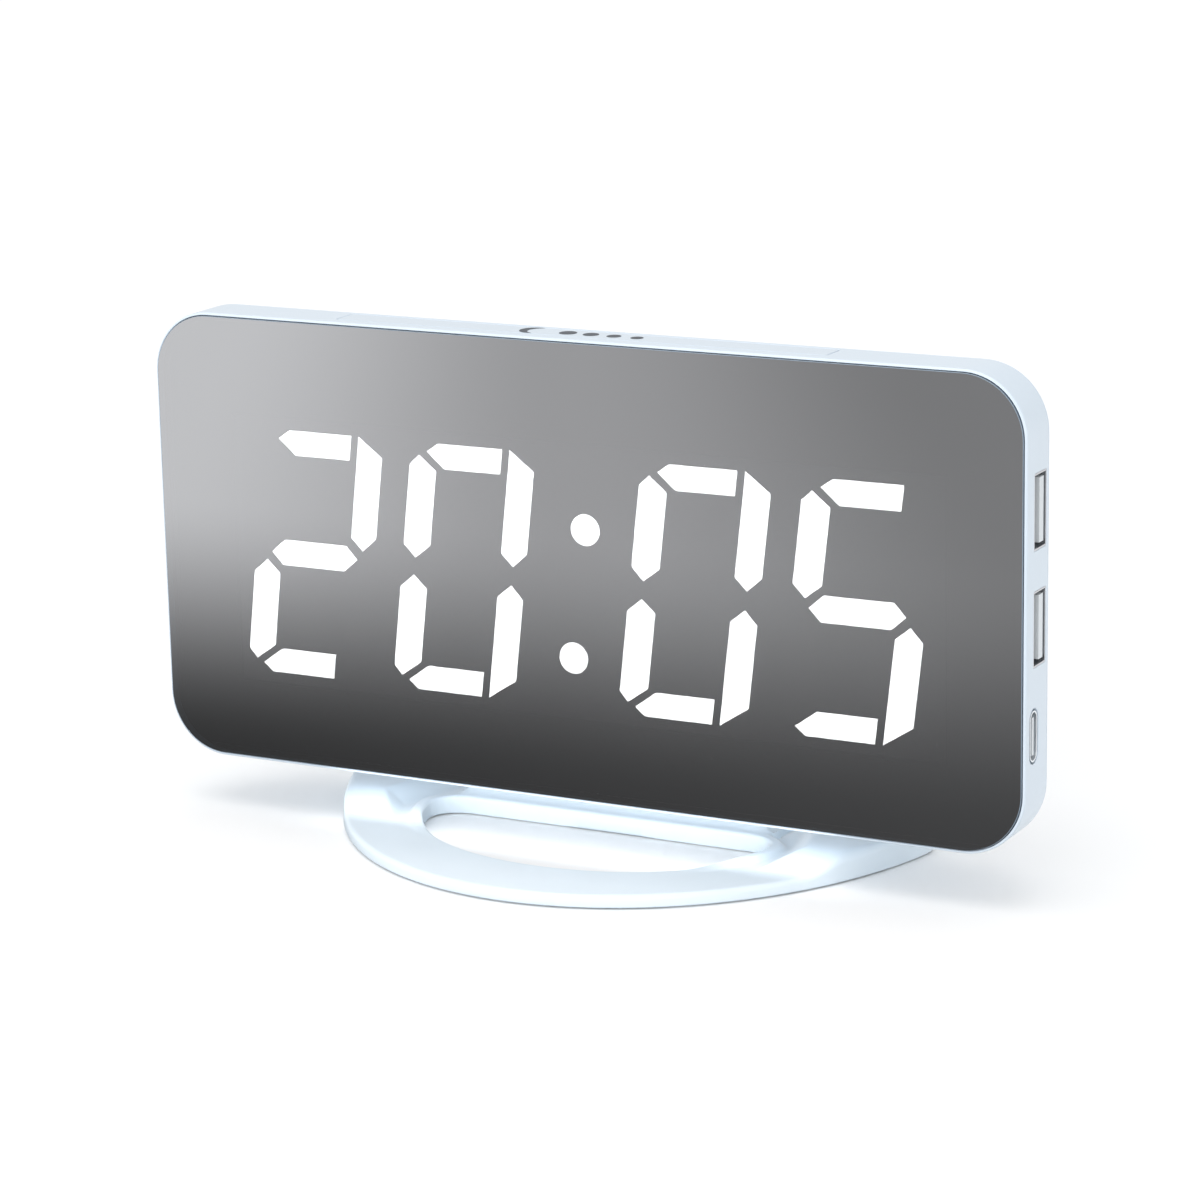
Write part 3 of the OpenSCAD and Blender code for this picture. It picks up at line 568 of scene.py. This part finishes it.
def back_skin():
    """The outside of the rear shell, with a fine chamfer that shows as the seam."""
    seam = mm(0.18)
    rings = back_rings(0, BACK_Y - PART_Y - mm(0.9), 26)
    rings += [along_y(housing_outline(inset, CORNER, BACK_STEPS), BACK_Y - y)
              for inset, y in BACK_TURN]
    rings[0] = along_y(housing_outline(seam, CORNER, BACK_STEPS), PART_Y)
    rings.insert(1, along_y(housing_outline(mm(0.03), CORNER, BACK_STEPS), PART_Y + seam))
    return loft(rings)


def back_cavity():
    """The inside of the rear shell, from in front of the parting line to the back wall."""
    narrowed = 0.985
    rings = back_rings(WALL, BACK_IN - PART_Y - mm(0.3), 18)
    rings[0] = [p - Vector((0, mm(1), 0)) for p in rings[0]]
    rings.append([Vector((p.x * narrowed, BACK_IN, BODY_MID + (p.z - BODY_MID) * narrowed))
                  for p in rings[-1]])
    return loft(rings)


def screw_posts():
    return [turned([(mm(4), PART_Y), (mm(4), BACK_IN + mm(0.4))], s, steps=32) for s in SCREWS]


def cell_bay():
    return block(Vector((-BAY_W / 2 - BAY_WALL, BAY_FRONT, BAY_Z - BAY_H / 2 - BAY_WALL)),
                 Vector((BAY_W / 2 + BAY_WALL, BACK_IN + mm(0.4), BAY_Z + BAY_H / 2 + BAY_WALL)),
                 mm(0.6), mm(0.1))


def neck_landing():
    """The flared foot of the shell that stands on the neck."""
    flare, steps = mm(3), 6
    rings = []
    for grow, rise, back in ((0, 0, 0), (0, mm(1), 0), (flare * 0.35, mm(2.8), mm(0.6)),
                             (flare, mm(6.4), mm(1.6))):
        outline = rounded(NECK_W + 2 * grow, NECK_BACK - NECK_FRONT - back, NECK_CORNER, steps, 0,
                          (NECK_BACK - back + NECK_FRONT) / 2)
        rings.append(along_z(outline, NECK_TOP + rise))
    return loft(rings)


def keyhole(x, z):
    join = math.degrees(math.asin(KEYHOLE_SLOT_R / KEYHOLE_R))
    return (arc(x, z, KEYHOLE_R, 90 + join, 450 - join, 28)
            + arc(x, z + KEYHOLE_RISE, KEYHOLE_SLOT_R, 0, 180, 12))


def back_openings():
    """Cutters for the screws, keys, keyholes, buzzer and vents."""
    shaft_r, head_r, head_y = mm(1.5), mm(2.7), PART_Y + mm(6)
    tools = [turned([(shaft_r, PART_Y - mm(1)), (shaft_r, head_y), (head_r, head_y),
                     (head_r, BACK_Y + mm(1))], s, steps=40) for s in SCREWS]
    for key in KEYS:
        low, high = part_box(key + "_button")
        x, z = (low.x + high.x) / 2, (low.z + high.z) / 2
        tools.append(back_hole(circle(x, z, KEY_OPENING_R, 40)))
    for side in (-1, 1):
        tools.append(back_hole(keyhole(side * KEYHOLE_X, KEYHOLE_Z), mm(0.2)))
    dots = [(SOUND_X, SOUND_Z)]
    for i in range(6):
        turn = math.radians(60 * i)
        dots.append((SOUND_X + SOUND_RING * math.cos(turn), SOUND_Z + SOUND_RING * math.sin(turn)))
    tools += [back_hole(circle(*dot, SOUND_R, 20), mm(0.15)) for dot in dots]
    for i in range(-2, 3):
        vent = rounded(VENT_W, VENT_H, VENT_CORNER, 5, VENT_X + VENT_STEP * i, VENT_Z)
        tools.append(back_hole(vent, mm(0.12)))
    return tools


def make_rear_shell():
    obj = to_object("back_shell", back_skin())
    combine(obj, back_cavity(), "DIFFERENCE")
    combine(obj, joined(screw_posts() + [cell_bay()]), "UNION")
    combine(obj, neck_landing(), "UNION")
    combine(obj, joined(back_openings()), "DIFFERENCE")

    # The lid's opening, then the round seat of the cell behind it and a notch for a fingertip
    mouth = rounded(BAY_W, BAY_H, mm(1.0), 5, 0, BAY_Z)
    combine(obj, plate(mouth, BACK_Y - LID_T - mm(0.2), BACK_Y + mm(1)), "DIFFERENCE")
    seat_r, seat_y = mm(10.3), BAY_FRONT + BAY_WALL
    seat = turned([(seat_r, seat_y), (seat_r, BACK_Y)], (0, BAY_Z - CELL_DROP), steps=64)
    combine(obj, seat, "DIFFERENCE")
    finger = rounded(mm(8), mm(13), mm(2), 5, 0, BAY_Z - mm(6))
    combine(obj, plate(finger, seat_y, BACK_Y), "DIFFERENCE")
    pin_r, pin_reach = mm(0.65), mm(1.3)
    lid_mid, lid_half = (lid_low.z + lid_high.z) / 2, (lid_high.z - lid_low.z) / 2
    pin_at = (lid_high.y - LID_T / 2, lid_mid + lid_half - LID_T / 2)
    for side in (-1, 1):
        wall_x = side * BAY_W / 2
        combine(obj, turned([(pin_r, wall_x - pin_reach), (pin_r, wall_x + pin_reach)], pin_at,
                            axis="x", steps=24), "DIFFERENCE")
    # Sockets for the stand's tongues
    half_w, front, back, depth = mm(7.2, 15.8, 19.2, 14.6)
    sockets = [block(Vector((x - half_w, front, NECK_TOP - mm(1))),
                     Vector((x + half_w, back, NECK_TOP + depth)), mm(0.4), mm(0.1), "z")
               for x in (-TONGUE_X, TONGUE_X)]
    combine(obj, joined(sockets), "DIFFERENCE")
    return dressed(obj, "clock", [SHELL], ["rear_shell"])


# ---------- keys and lid ----------

def make_snooze_key():
    """A bar with a flange that holds it under the wall, and a rib that reaches the switch."""
    low = Vector((snooze_low.x + SNOOZE_FLANGE, snooze_low.y, BODY_TOP - WALL - mm(1.1)))
    high = Vector((snooze_high.x - SNOOZE_FLANGE, snooze_high.y, BODY_TOP))
    bar = block(low, high, mm(0.5), mm(0.18), "z")
    skirt = block(Vector((snooze_low.x, snooze_low.y, low.z)),
                  Vector((snooze_high.x, snooze_high.y, low.z + mm(1))), mm(0.3), mm(0.1), "z")
    rib = block(Vector((mm(-2.5), mm(5.8), snooze_low.z)),
                Vector((mm(2.5), snooze_high.y, low.z + mm(0.2))), mm(0.3), mm(0.1), "z")
    obj = to_object("snooze_bar", bar)
    combine(obj, skirt, "UNION")
    combine(obj, rib, "UNION")
    return dressed(obj, "snooze_key", [KEY], ["snooze_button"])


def make_key(key):
    """A round key with a shallow dish in its crown."""
    low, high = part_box(key + "_button")
    centre = ((low.x + high.x) / 2, (low.z + high.z) / 2)
    r, stem_r, flange_r = mm(3), mm(1.6), mm(4)
    flange_front, flange_back, top = BACK_IN - mm(1.4), BACK_IN - mm(0.2), high.y
    profile = [(stem_r, low.y), (stem_r, flange_front), (flange_r, flange_front),
               (flange_r, flange_back), (r, flange_back), (r, top - mm(0.35)),
               (r - mm(0.1), top - mm(0.12)), (r - mm(0.35), top), (r - mm(0.8), top - mm(0.04)),
               (r * 0.4, top - mm(0.14)), (0, top - mm(0.16))]
    obj = to_object(key + "_cap", turned(profile, centre))
    return dressed(obj, key + "_key", [KEY], [key + "_button"])


def make_lid():
    """Flap with rounded corners, grip grooves, a hinge barrel, its two pins and a nail notch."""
    half, pin_reach, pin_r = mm(12.2, 13.4, 0.55)
    barrel_end_r, pin_end_r, chamfer = mm(0.6, 0.4, 0.15)
    hinge_z = lid_high.z - LID_T / 2
    flap = block(Vector((-half, lid_low.y, lid_low.z)), Vector((half, lid_high.y, hinge_z)),
                 mm(0.9), mm(0.2))
    obj = to_object("lid_flap", flap)
    pin_at = (lid_high.y - LID_T / 2, hinge_z)
    for r, end_r, reach, steps in ((LID_T / 2, barrel_end_r, half, 32),
                                   (pin_r, pin_end_r, pin_reach, 24)):
        profile = [(end_r, -reach), (r, -reach + chamfer), (r, reach - chamfer), (end_r, reach)]
        combine(obj, turned(profile, pin_at, axis="x", steps=steps), "UNION")
    notch = turned([(mm(3), lid_high.y - mm(0.8)), (mm(3.4), lid_high.y + mm(1))], (0, lid_low.z))
    combine(obj, notch, "DIFFERENCE")
    groove_x, groove_w, first, step = mm(6, 0.8, 5, 1.6)
    grooves = []
    for i in range(5):
        z = lid_low.z + first + step * i
        grooves.append(block(Vector((-groove_x, lid_high.y - mm(0.35), z)),
                             Vector((groove_x, lid_high.y + mm(0.5), z + groove_w)),
                             mm(0.3), mm(0.1)))
    combine(obj, joined(grooves), "DIFFERENCE")
    return dressed(obj, "battery_door", [SHELL], ["battery_lid"])


# ---------- printed marks ----------

INK = mm(0.04)


def crescent(cx, cy, r):
    """A crescent moon, open to the right."""
    steps = 24
    bite = 0.62 * r
    near = math.degrees(math.acos((bite / 2) / r))
    outer = arc(cx, cy, r, near, 360 - near, steps)
    inner = arc(cx + bite, cy, r, 180 + near, 180 - near, steps)
    return outer + inner[1:-1]


def bell(cx, cz, size):
    """A bell's outline, from its wide foot up to a round crown."""
    waist, shoulder = 0.66, 0.3
    half = [(1.0, -0.7), (0.98, -0.5), (0.72, -0.2), (waist, shoulder)]
    crown = arc(0, shoulder, waist, 15, 165, 10)
    points = half + crown + [(-x, z) for x, z in reversed(half)]
    return [(cx + size * x, cz + size * z) for x, z in points]


def printed(name, shapes, body, place):
    """Thin plates of ink on a surface; place turns each outline into its plate."""
    obj = to_object(name, joined([place(points) for points in shapes]))
    return dressed(obj, body, [PRINT])


def make_snooze_mark():
    """A moon and four dots that grow smaller, on the snooze bar."""
    moon_x, moon_r, first_x, step, dot_r, less = mm(-9.4, 2.6, -2.6, 4.5, 1.6, 0.15)
    shapes = [crescent(moon_x, SNOOZE_MID, moon_r)]
    shapes += [circle(first_x + step * i, SNOOZE_MID, dot_r - less * i, 24) for i in range(4)]
    printed("snooze_mark", shapes, "snooze_key",
            lambda p: plate(p, BODY_TOP - INK, BODY_TOP + INK, "z"))


def make_key_marks():
    """One pictogram under each back key: three bars, up, down, a bell and a sun."""
    s = mm(1.1)
    at = {}
    for key in KEYS:
        low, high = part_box(key + "_button")
        at[key] = (low.x + high.x) / 2
    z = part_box("mode_button")[0].z - mm(2.6)
    shapes = [rounded(2 * s, mm(0.35), mm(0.15), 3, at["mode"], z + d) for d in mm(-0.8, 0, 0.8)]
    for key, tip in (("up", 1), ("down", -1)):
        foot, peak = z - tip * 0.7 * s, z + tip * 0.9 * s
        shapes.append([(at[key] - s, foot), (at[key] + s, foot), (at[key], peak)][::tip])
    shapes.append(bell(at["alarm"], z, s))
    shapes.append(arc(at["alarm"], z - 0.92 * s, 0.2 * s, 180, 360, 8))
    shapes.append(circle(at["dim"], z, 0.55 * s, 20))
    for i in range(8):
        turn = math.radians(45 * i)
        shapes.append(circle(at["dim"] + 1.05 * s * math.cos(turn),
                             z + 1.05 * s * math.sin(turn), mm(0.16), 8))
    printed("key_marks", shapes, "clock", lambda p: plate(p, BACK_Y - INK, BACK_Y + INK))


# ---------- stand ----------

STAND_T = mm(2.6)
STAND_LOW = stand_low.z
LIP_RISE = mm(1.0)
WING_RISE = mm(2.9)
ARC_A, ARC_B, ARC_Y, ARC_BACK, ARC_CORNER = mm(59, 70, 40, 30, 5)
HOLE_A, HOLE_B, HOLE_Y, HOLE_BACK, HOLE_CORNER = mm(34.4, 25.8, 10.2, 12.8, 6)
NECK_FILLET = mm(2.4)

# Where the stand's top changes height: rows are the two ends of each slope
LIP_FADE = mm(1.7, 3.1)
LIP_START = mm(-9, 1)
STEP_SIDE = mm(31.2, 32.4)
STEP_FRONT = mm(13.3, 14.3)
STEP_BACK = mm(24.4, 25.4)
WING_BLEND = mm(0.35)


def moon_distance(x, y, a, b, centre_y, back_y, corner):
    """Distance outside a half-moon: an ellipse cut straight across, with rounded corners."""
    f = np.sqrt((x / a) ** 2 + ((y - centre_y) / b) ** 2)
    steep = np.sqrt((x / a**2) ** 2 + ((y - centre_y) / b**2) ** 2)
    curve = (f - 1) * f / np.maximum(steep, 1e-9)
    line = y - back_y
    both = np.minimum(np.maximum(curve, line), -corner)
    return both + np.hypot(np.maximum(curve + corner, 0), np.maximum(line + corner, 0))


def outer_distance(x, y):
    return moon_distance(x, y, ARC_A, ARC_B, ARC_Y, ARC_BACK, ARC_CORNER)


def hole_distance(x, y):
    return moon_distance(x, y, HOLE_A, HOLE_B, HOLE_Y, HOLE_BACK, HOLE_CORNER)


def eased(low, high, value):
    t = np.clip((value - low) / (high - low), 0, 1)
    return t * t * (3 - 2 * t)


def soft_max(a, b, blend):
    return 0.5 * (a + b + np.sqrt((a - b) ** 2 + blend**2))


def soft_min(a, b, blend):
    return -soft_max(-a, -b, blend)


def wing_height(x, y):
    """Share of the raised pads' full height: a front ramp, an outer slope and an inner slope.

    Lengths here are in millimetres, and each slope runs from 0 at its foot to 1 at its top.
    """
    x, y = np.abs(x) * 1000, y * 1000
    ramp_y, ramp_l = -3, 9
    front = (y - ramp_y) / ramp_l
    outer_reach, outer_l = 45.5, 4.5
    outer = (outer_reach - (0.882 * x - 0.47 * y)) / outer_l
    # The inner slope's foot moves out along the ramp, and in again behind it
    foot_at_ramp, foot_widest, foot_l = 36, 38.5, 22
    ramp_end = ramp_y + ramp_l
    foot = np.where(y < ramp_end, foot_at_ramp + 2.5 * front,
                    foot_widest - 5.5 * (y - ramp_end) / foot_l)
    inner_l = 4.4
    inner = (x - foot) / inner_l
    blend, top_blend, overshoot = 0.12, 0.1, 0.08
    height = soft_min(soft_min(front, outer, blend), inner, blend)
    return eased(-overshoot, 1 + overshoot, soft_min(height, 1.0, top_blend))


def stand_top(x, y):
    """Height of the stand's top surface."""
    lip = (1 - eased(*LIP_FADE, hole_distance(x, y))) * eased(*LIP_START, y)
    step = (1 - eased(*STEP_SIDE, np.abs(x))) * eased(*STEP_FRONT, y)
    step = step * (1 - eased(*STEP_BACK, y))
    raised = np.maximum(lip, step) * LIP_RISE
    across = np.maximum(np.abs(x) - NECK_W / 2, 0)
    along = np.maximum(np.maximum(NECK_FRONT - y, y - NECK_BACK), 0)
    near_neck = np.clip(NECK_FILLET - np.hypot(across, along), 0, NECK_FILLET)
    fillet = LIP_RISE + NECK_FILLET - np.sqrt(NECK_FILLET**2 - near_neck**2)
    raised = np.where(near_neck > 0, np.maximum(raised, fillet), raised)
    wings = wing_height(x, y) * WING_RISE
    blended = soft_max(raised, wings, WING_BLEND) - WING_BLEND / 2
    return STAND_T + np.maximum(blended, np.maximum(raised, wings))


def edge_of(distance, angles, reach):
    """Radius at which each ray from the middle of the stand meets an outline, by halving."""
    halvings = 40
    low, high = np.zeros_like(angles), np.full_like(angles, reach)
    for _ in range(halvings):
        mid = (low + high) / 2
        inside = distance(mid * np.cos(angles), mid * np.sin(angles)) < 0
        low, high = np.where(inside, mid, low), np.where(inside, high, mid)
    return (low + high) / 2


def moon():
    """The base: rings from the hole's edge to the outer edge, then back underneath."""
    turns, rows = 540, 84
    angles = np.linspace(0, 2 * np.pi, turns, endpoint=False)
    near = edge_of(hole_distance, angles, mm(60))
    far = edge_of(outer_distance, angles, mm(90))
    # Rows lie closer together towards both edges
    even = np.linspace(0, 1, rows)
    share = 0.45 * even + 0.55 * (1 - np.cos(np.pi * even)) / 2
    soft_out, soft_in, foot = mm(1.0, 0.7, 0.3)
    rings = []
    for s in share:
        r = near + (far - near) * s
        x, y = r * np.cos(angles), r * np.sin(angles)
        z = stand_top(x, y)
        for away, soft in ((-outer_distance(x, y), soft_out), (hole_distance(x, y), soft_in)):
            away = np.clip(away, 0, soft)
            z = z - (soft - np.sqrt(np.maximum(soft**2 - (soft - away) ** 2, 0)))
        rings.append([Vector(p) for p in zip(x, y, z)])
    for r, z in ((far, STAND_LOW + foot), (far - foot, STAND_LOW), (near + foot, STAND_LOW),
                 (near, STAND_LOW + foot)):
        rings.append([Vector((x, y, z)) for x, y in zip(r * np.cos(angles), r * np.sin(angles))])
    return loft(rings, ring_closed=True)


def make_stand():
    obj = to_object("stand_moon", moon())
    neck = block(Vector((-NECK_W / 2, NECK_FRONT, STAND_T - mm(1))),
                 Vector((NECK_W / 2, NECK_BACK, NECK_TOP)), NECK_CORNER, mm(0.25), "z")
    combine(obj, neck, "UNION")
    half_w, front, back = mm(7, 16, 19)
    tongues = [block(Vector((x - half_w, front, NECK_TOP - mm(1))),
                     Vector((x + half_w, back, stand_high.z)), mm(0.5), mm(0.5), "z")
               for x in (-TONGUE_X, TONGUE_X)]
    combine(obj, joined(tongues), "UNION")

    pad_low, pad_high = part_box("foot_pads")
    pad_r, socket_r, front_pad_x = mm(4, 4.1, 25.5)
    rear_y, front_y = pad_high.y - pad_r, pad_low.y + pad_r
    pads = [(pad_low.x + pad_r, rear_y), (pad_high.x - pad_r, rear_y),
            (-front_pad_x, front_y), (front_pad_x, front_y)]
    profile = [(socket_r, STAND_LOW - mm(1)), (socket_r, pad_high.z)]
    sockets = [turned(profile, p, axis="z", steps=40) for p in pads]
    combine(obj, joined(sockets), "DIFFERENCE")
    # The photo's mirror doesn't show the stand in front of it
    obj.visible_glossy = False
    # The stand's plastic is painted lighter than the shell's, as painted light on its top.
    return dressed(obj, "stand", [STAND], ["stand_base"], sharp=50)


# ---------- studio ----------

CAMERA_AT = Vector(mm(322.6, -599.7, 216.5))
CAMERA_AIM = Vector(mm(5.8, 0, 47.25))
CAMERA_ROLL = math.radians(-1.15)
CAMERA_LENS = 119.8
SKY_STRENGTH = 0.85
SUN_STRENGTH, SUN_SPREAD = 0.75, math.radians(50)
FLOOR_TONE = (0.93, 0.93, 0.93, 1)
CARD_HEIGHT = mm(0.4)


def make_camera():
    data = bpy.data.cameras.new("camera")
    data.lens = CAMERA_LENS
    data.sensor_width = 36
    data.clip_start = 0.01
    cam = bpy.data.objects.new("camera", data)
    bpy.context.scene.collection.objects.link(cam)
    cam.location = CAMERA_AT
    cam.rotation_mode = "QUATERNION"
    aim = (CAMERA_AIM - CAMERA_AT).to_track_quat("-Z", "Y")
    cam.rotation_quaternion = aim @ Quaternion((0, 0, 1), CAMERA_ROLL)
    bpy.context.scene.camera = cam


def stage_plane(name, low, high, z, mat):
    bm = bmesh.new()
    corners = [(low[0], low[1]), (high[0], low[1]), (high[0], high[1]), (low[0], high[1])]
    bm.faces.new([bm.verts.new((x, y, z)) for x, y in corners])
    obj = to_object(name, bm)
    obj.data.materials.append(mat)
    return obj


def make_floor():
    mat = bpy.data.materials.new("floor")
    mat.use_nodes = True
    shader = mat.node_tree.nodes["Principled BSDF"]
    shader.inputs["Base Color"].default_value = FLOOR_TONE
    shader.inputs["Roughness"].default_value = 0.9
    shader.inputs["Specular IOR Level"].default_value = 0.0
    stage_plane("floor", (-9, -9), (9, 9), 0, mat)


def make_mirror_card():
    """A graded card on the table in front of the clock, which only reflections see.

    It gives the mirror the tones of a room: a wall that darkens to the right above a dark floor.
    """
    mat = bpy.data.materials.new("card")
    mat.use_nodes = True
    nodes, links = mat.node_tree.nodes, mat.node_tree.links
    nodes.clear()
    place = nodes.new("ShaderNodeTexCoord")

    def graded(direction, start, end, stops):
        """Colours along a direction across the card, between two distances in metres."""
        along = nodes.new("ShaderNodeVectorMath")
        along.operation = "DOT_PRODUCT"
        along.inputs[1].default_value = direction
        span = nodes.new("ShaderNodeMapRange")
        span.inputs["From Min"].default_value = start
        span.inputs["From Max"].default_value = end
        ramp = nodes.new("ShaderNodeValToRGB")
        ramp.color_ramp.interpolation = "EASE"
        while len(ramp.color_ramp.elements) < len(stops):
            ramp.color_ramp.elements.new(0.5)
        for element, (position, level) in zip(ramp.color_ramp.elements, stops):
            element.position = position
            element.color = (level, level, level * 1.01, 1)
        links.new(place.outputs["Object"], along.inputs[0])
        links.new(along.outputs["Value"], span.inputs["Value"])
        links.new(span.outputs["Result"], ramp.inputs["Fac"])
        return ramp.outputs["Color"]

    rightwards, reach = (1, -0.54, 0), 0.12
    wall = graded(rightwards, -reach, reach, [(0, 1.25), (0.5, 0.74), (1, 0.44)])
    dark = graded(rightwards, -reach, reach, [(0, 0.075), (1, 0.12)])
    height = graded((0, -1, 0), 0.03, 0.225, [(0, 0), (1, 1)])
    mix = nodes.new("ShaderNodeMix")
    mix.data_type = "RGBA"
    links.new(height, mix.inputs["Factor"])
    links.new(dark, mix.inputs["A"])
    links.new(wall, mix.inputs["B"])
    light = nodes.new("ShaderNodeEmission")
    out = nodes.new("ShaderNodeOutputMaterial")
    links.new(mix.outputs["Result"], light.inputs["Color"])
    links.new(light.outputs["Emission"], out.inputs["Surface"])
    card = stage_plane("mirror_card", (-0.9, -0.75), (0.9, 0.02), CARD_HEIGHT, mat)
    card.visible_camera = False
    card.visible_diffuse = False
    card.visible_shadow = False
    card.visible_transmission = False


def aimed(obj, at, aim):
    bpy.context.scene.collection.objects.link(obj)
    obj.location = at
    obj.rotation_mode = "QUATERNION"
    obj.rotation_quaternion = (Vector(aim) - Vector(at)).to_track_quat("-Z", "Y")


def area_lamp(name, size, energy, at, aim):
    """A rectangular soft light: its two sides in metres, its power in watts."""
    data = bpy.data.lights.new(name, "AREA")
    data.shape = "RECTANGLE"
    data.size, data.size_y = size
    data.energy = energy
    lamp = bpy.data.objects.new(name, data)
    aimed(lamp, at, aim)
    return lamp


def make_studio():
    world = bpy.data.worlds.new("studio")
    bpy.context.scene.world = world
    world.use_nodes = True
    sky = world.node_tree.nodes["Background"]
    sky.inputs["Color"].default_value = (1, 1, 1, 1)
    sky.inputs["Strength"].default_value = SKY_STRENGTH
    key = bpy.data.lights.new("overhead", "SUN")
    key.angle = SUN_SPREAD
    key.energy = SUN_STRENGTH
    aimed(bpy.data.objects.new("overhead", key), (-0.1, -0.1, 1.0), (0, 0, 0))
    area_lamp("front_fill", (2.2, 0.9), 17, (0.0, -1.7, 0.42), (0, 0, 0.02))
    # Opens up the shade under the housing, on the stand's lip and neck
    under = area_lamp("under_fill", (0.1, 0.004), 0.0035, (0, -0.0035, 0.009), (0, 0.014, 0.0015))
    under.visible_camera = False
    under.visible_glossy = False
    bpy.context.scene.view_settings.view_transform = "Standard"
    make_floor()
    make_mirror_card()


make_camera()
make_studio()
finish_cad_nodes()
make_mirror()
make_front_frame()
make_rear_shell()
make_snooze_key()
for key_name in KEYS:
    make_key(key_name)
make_lid()
make_snooze_mark()
make_key_marks()
make_stand()
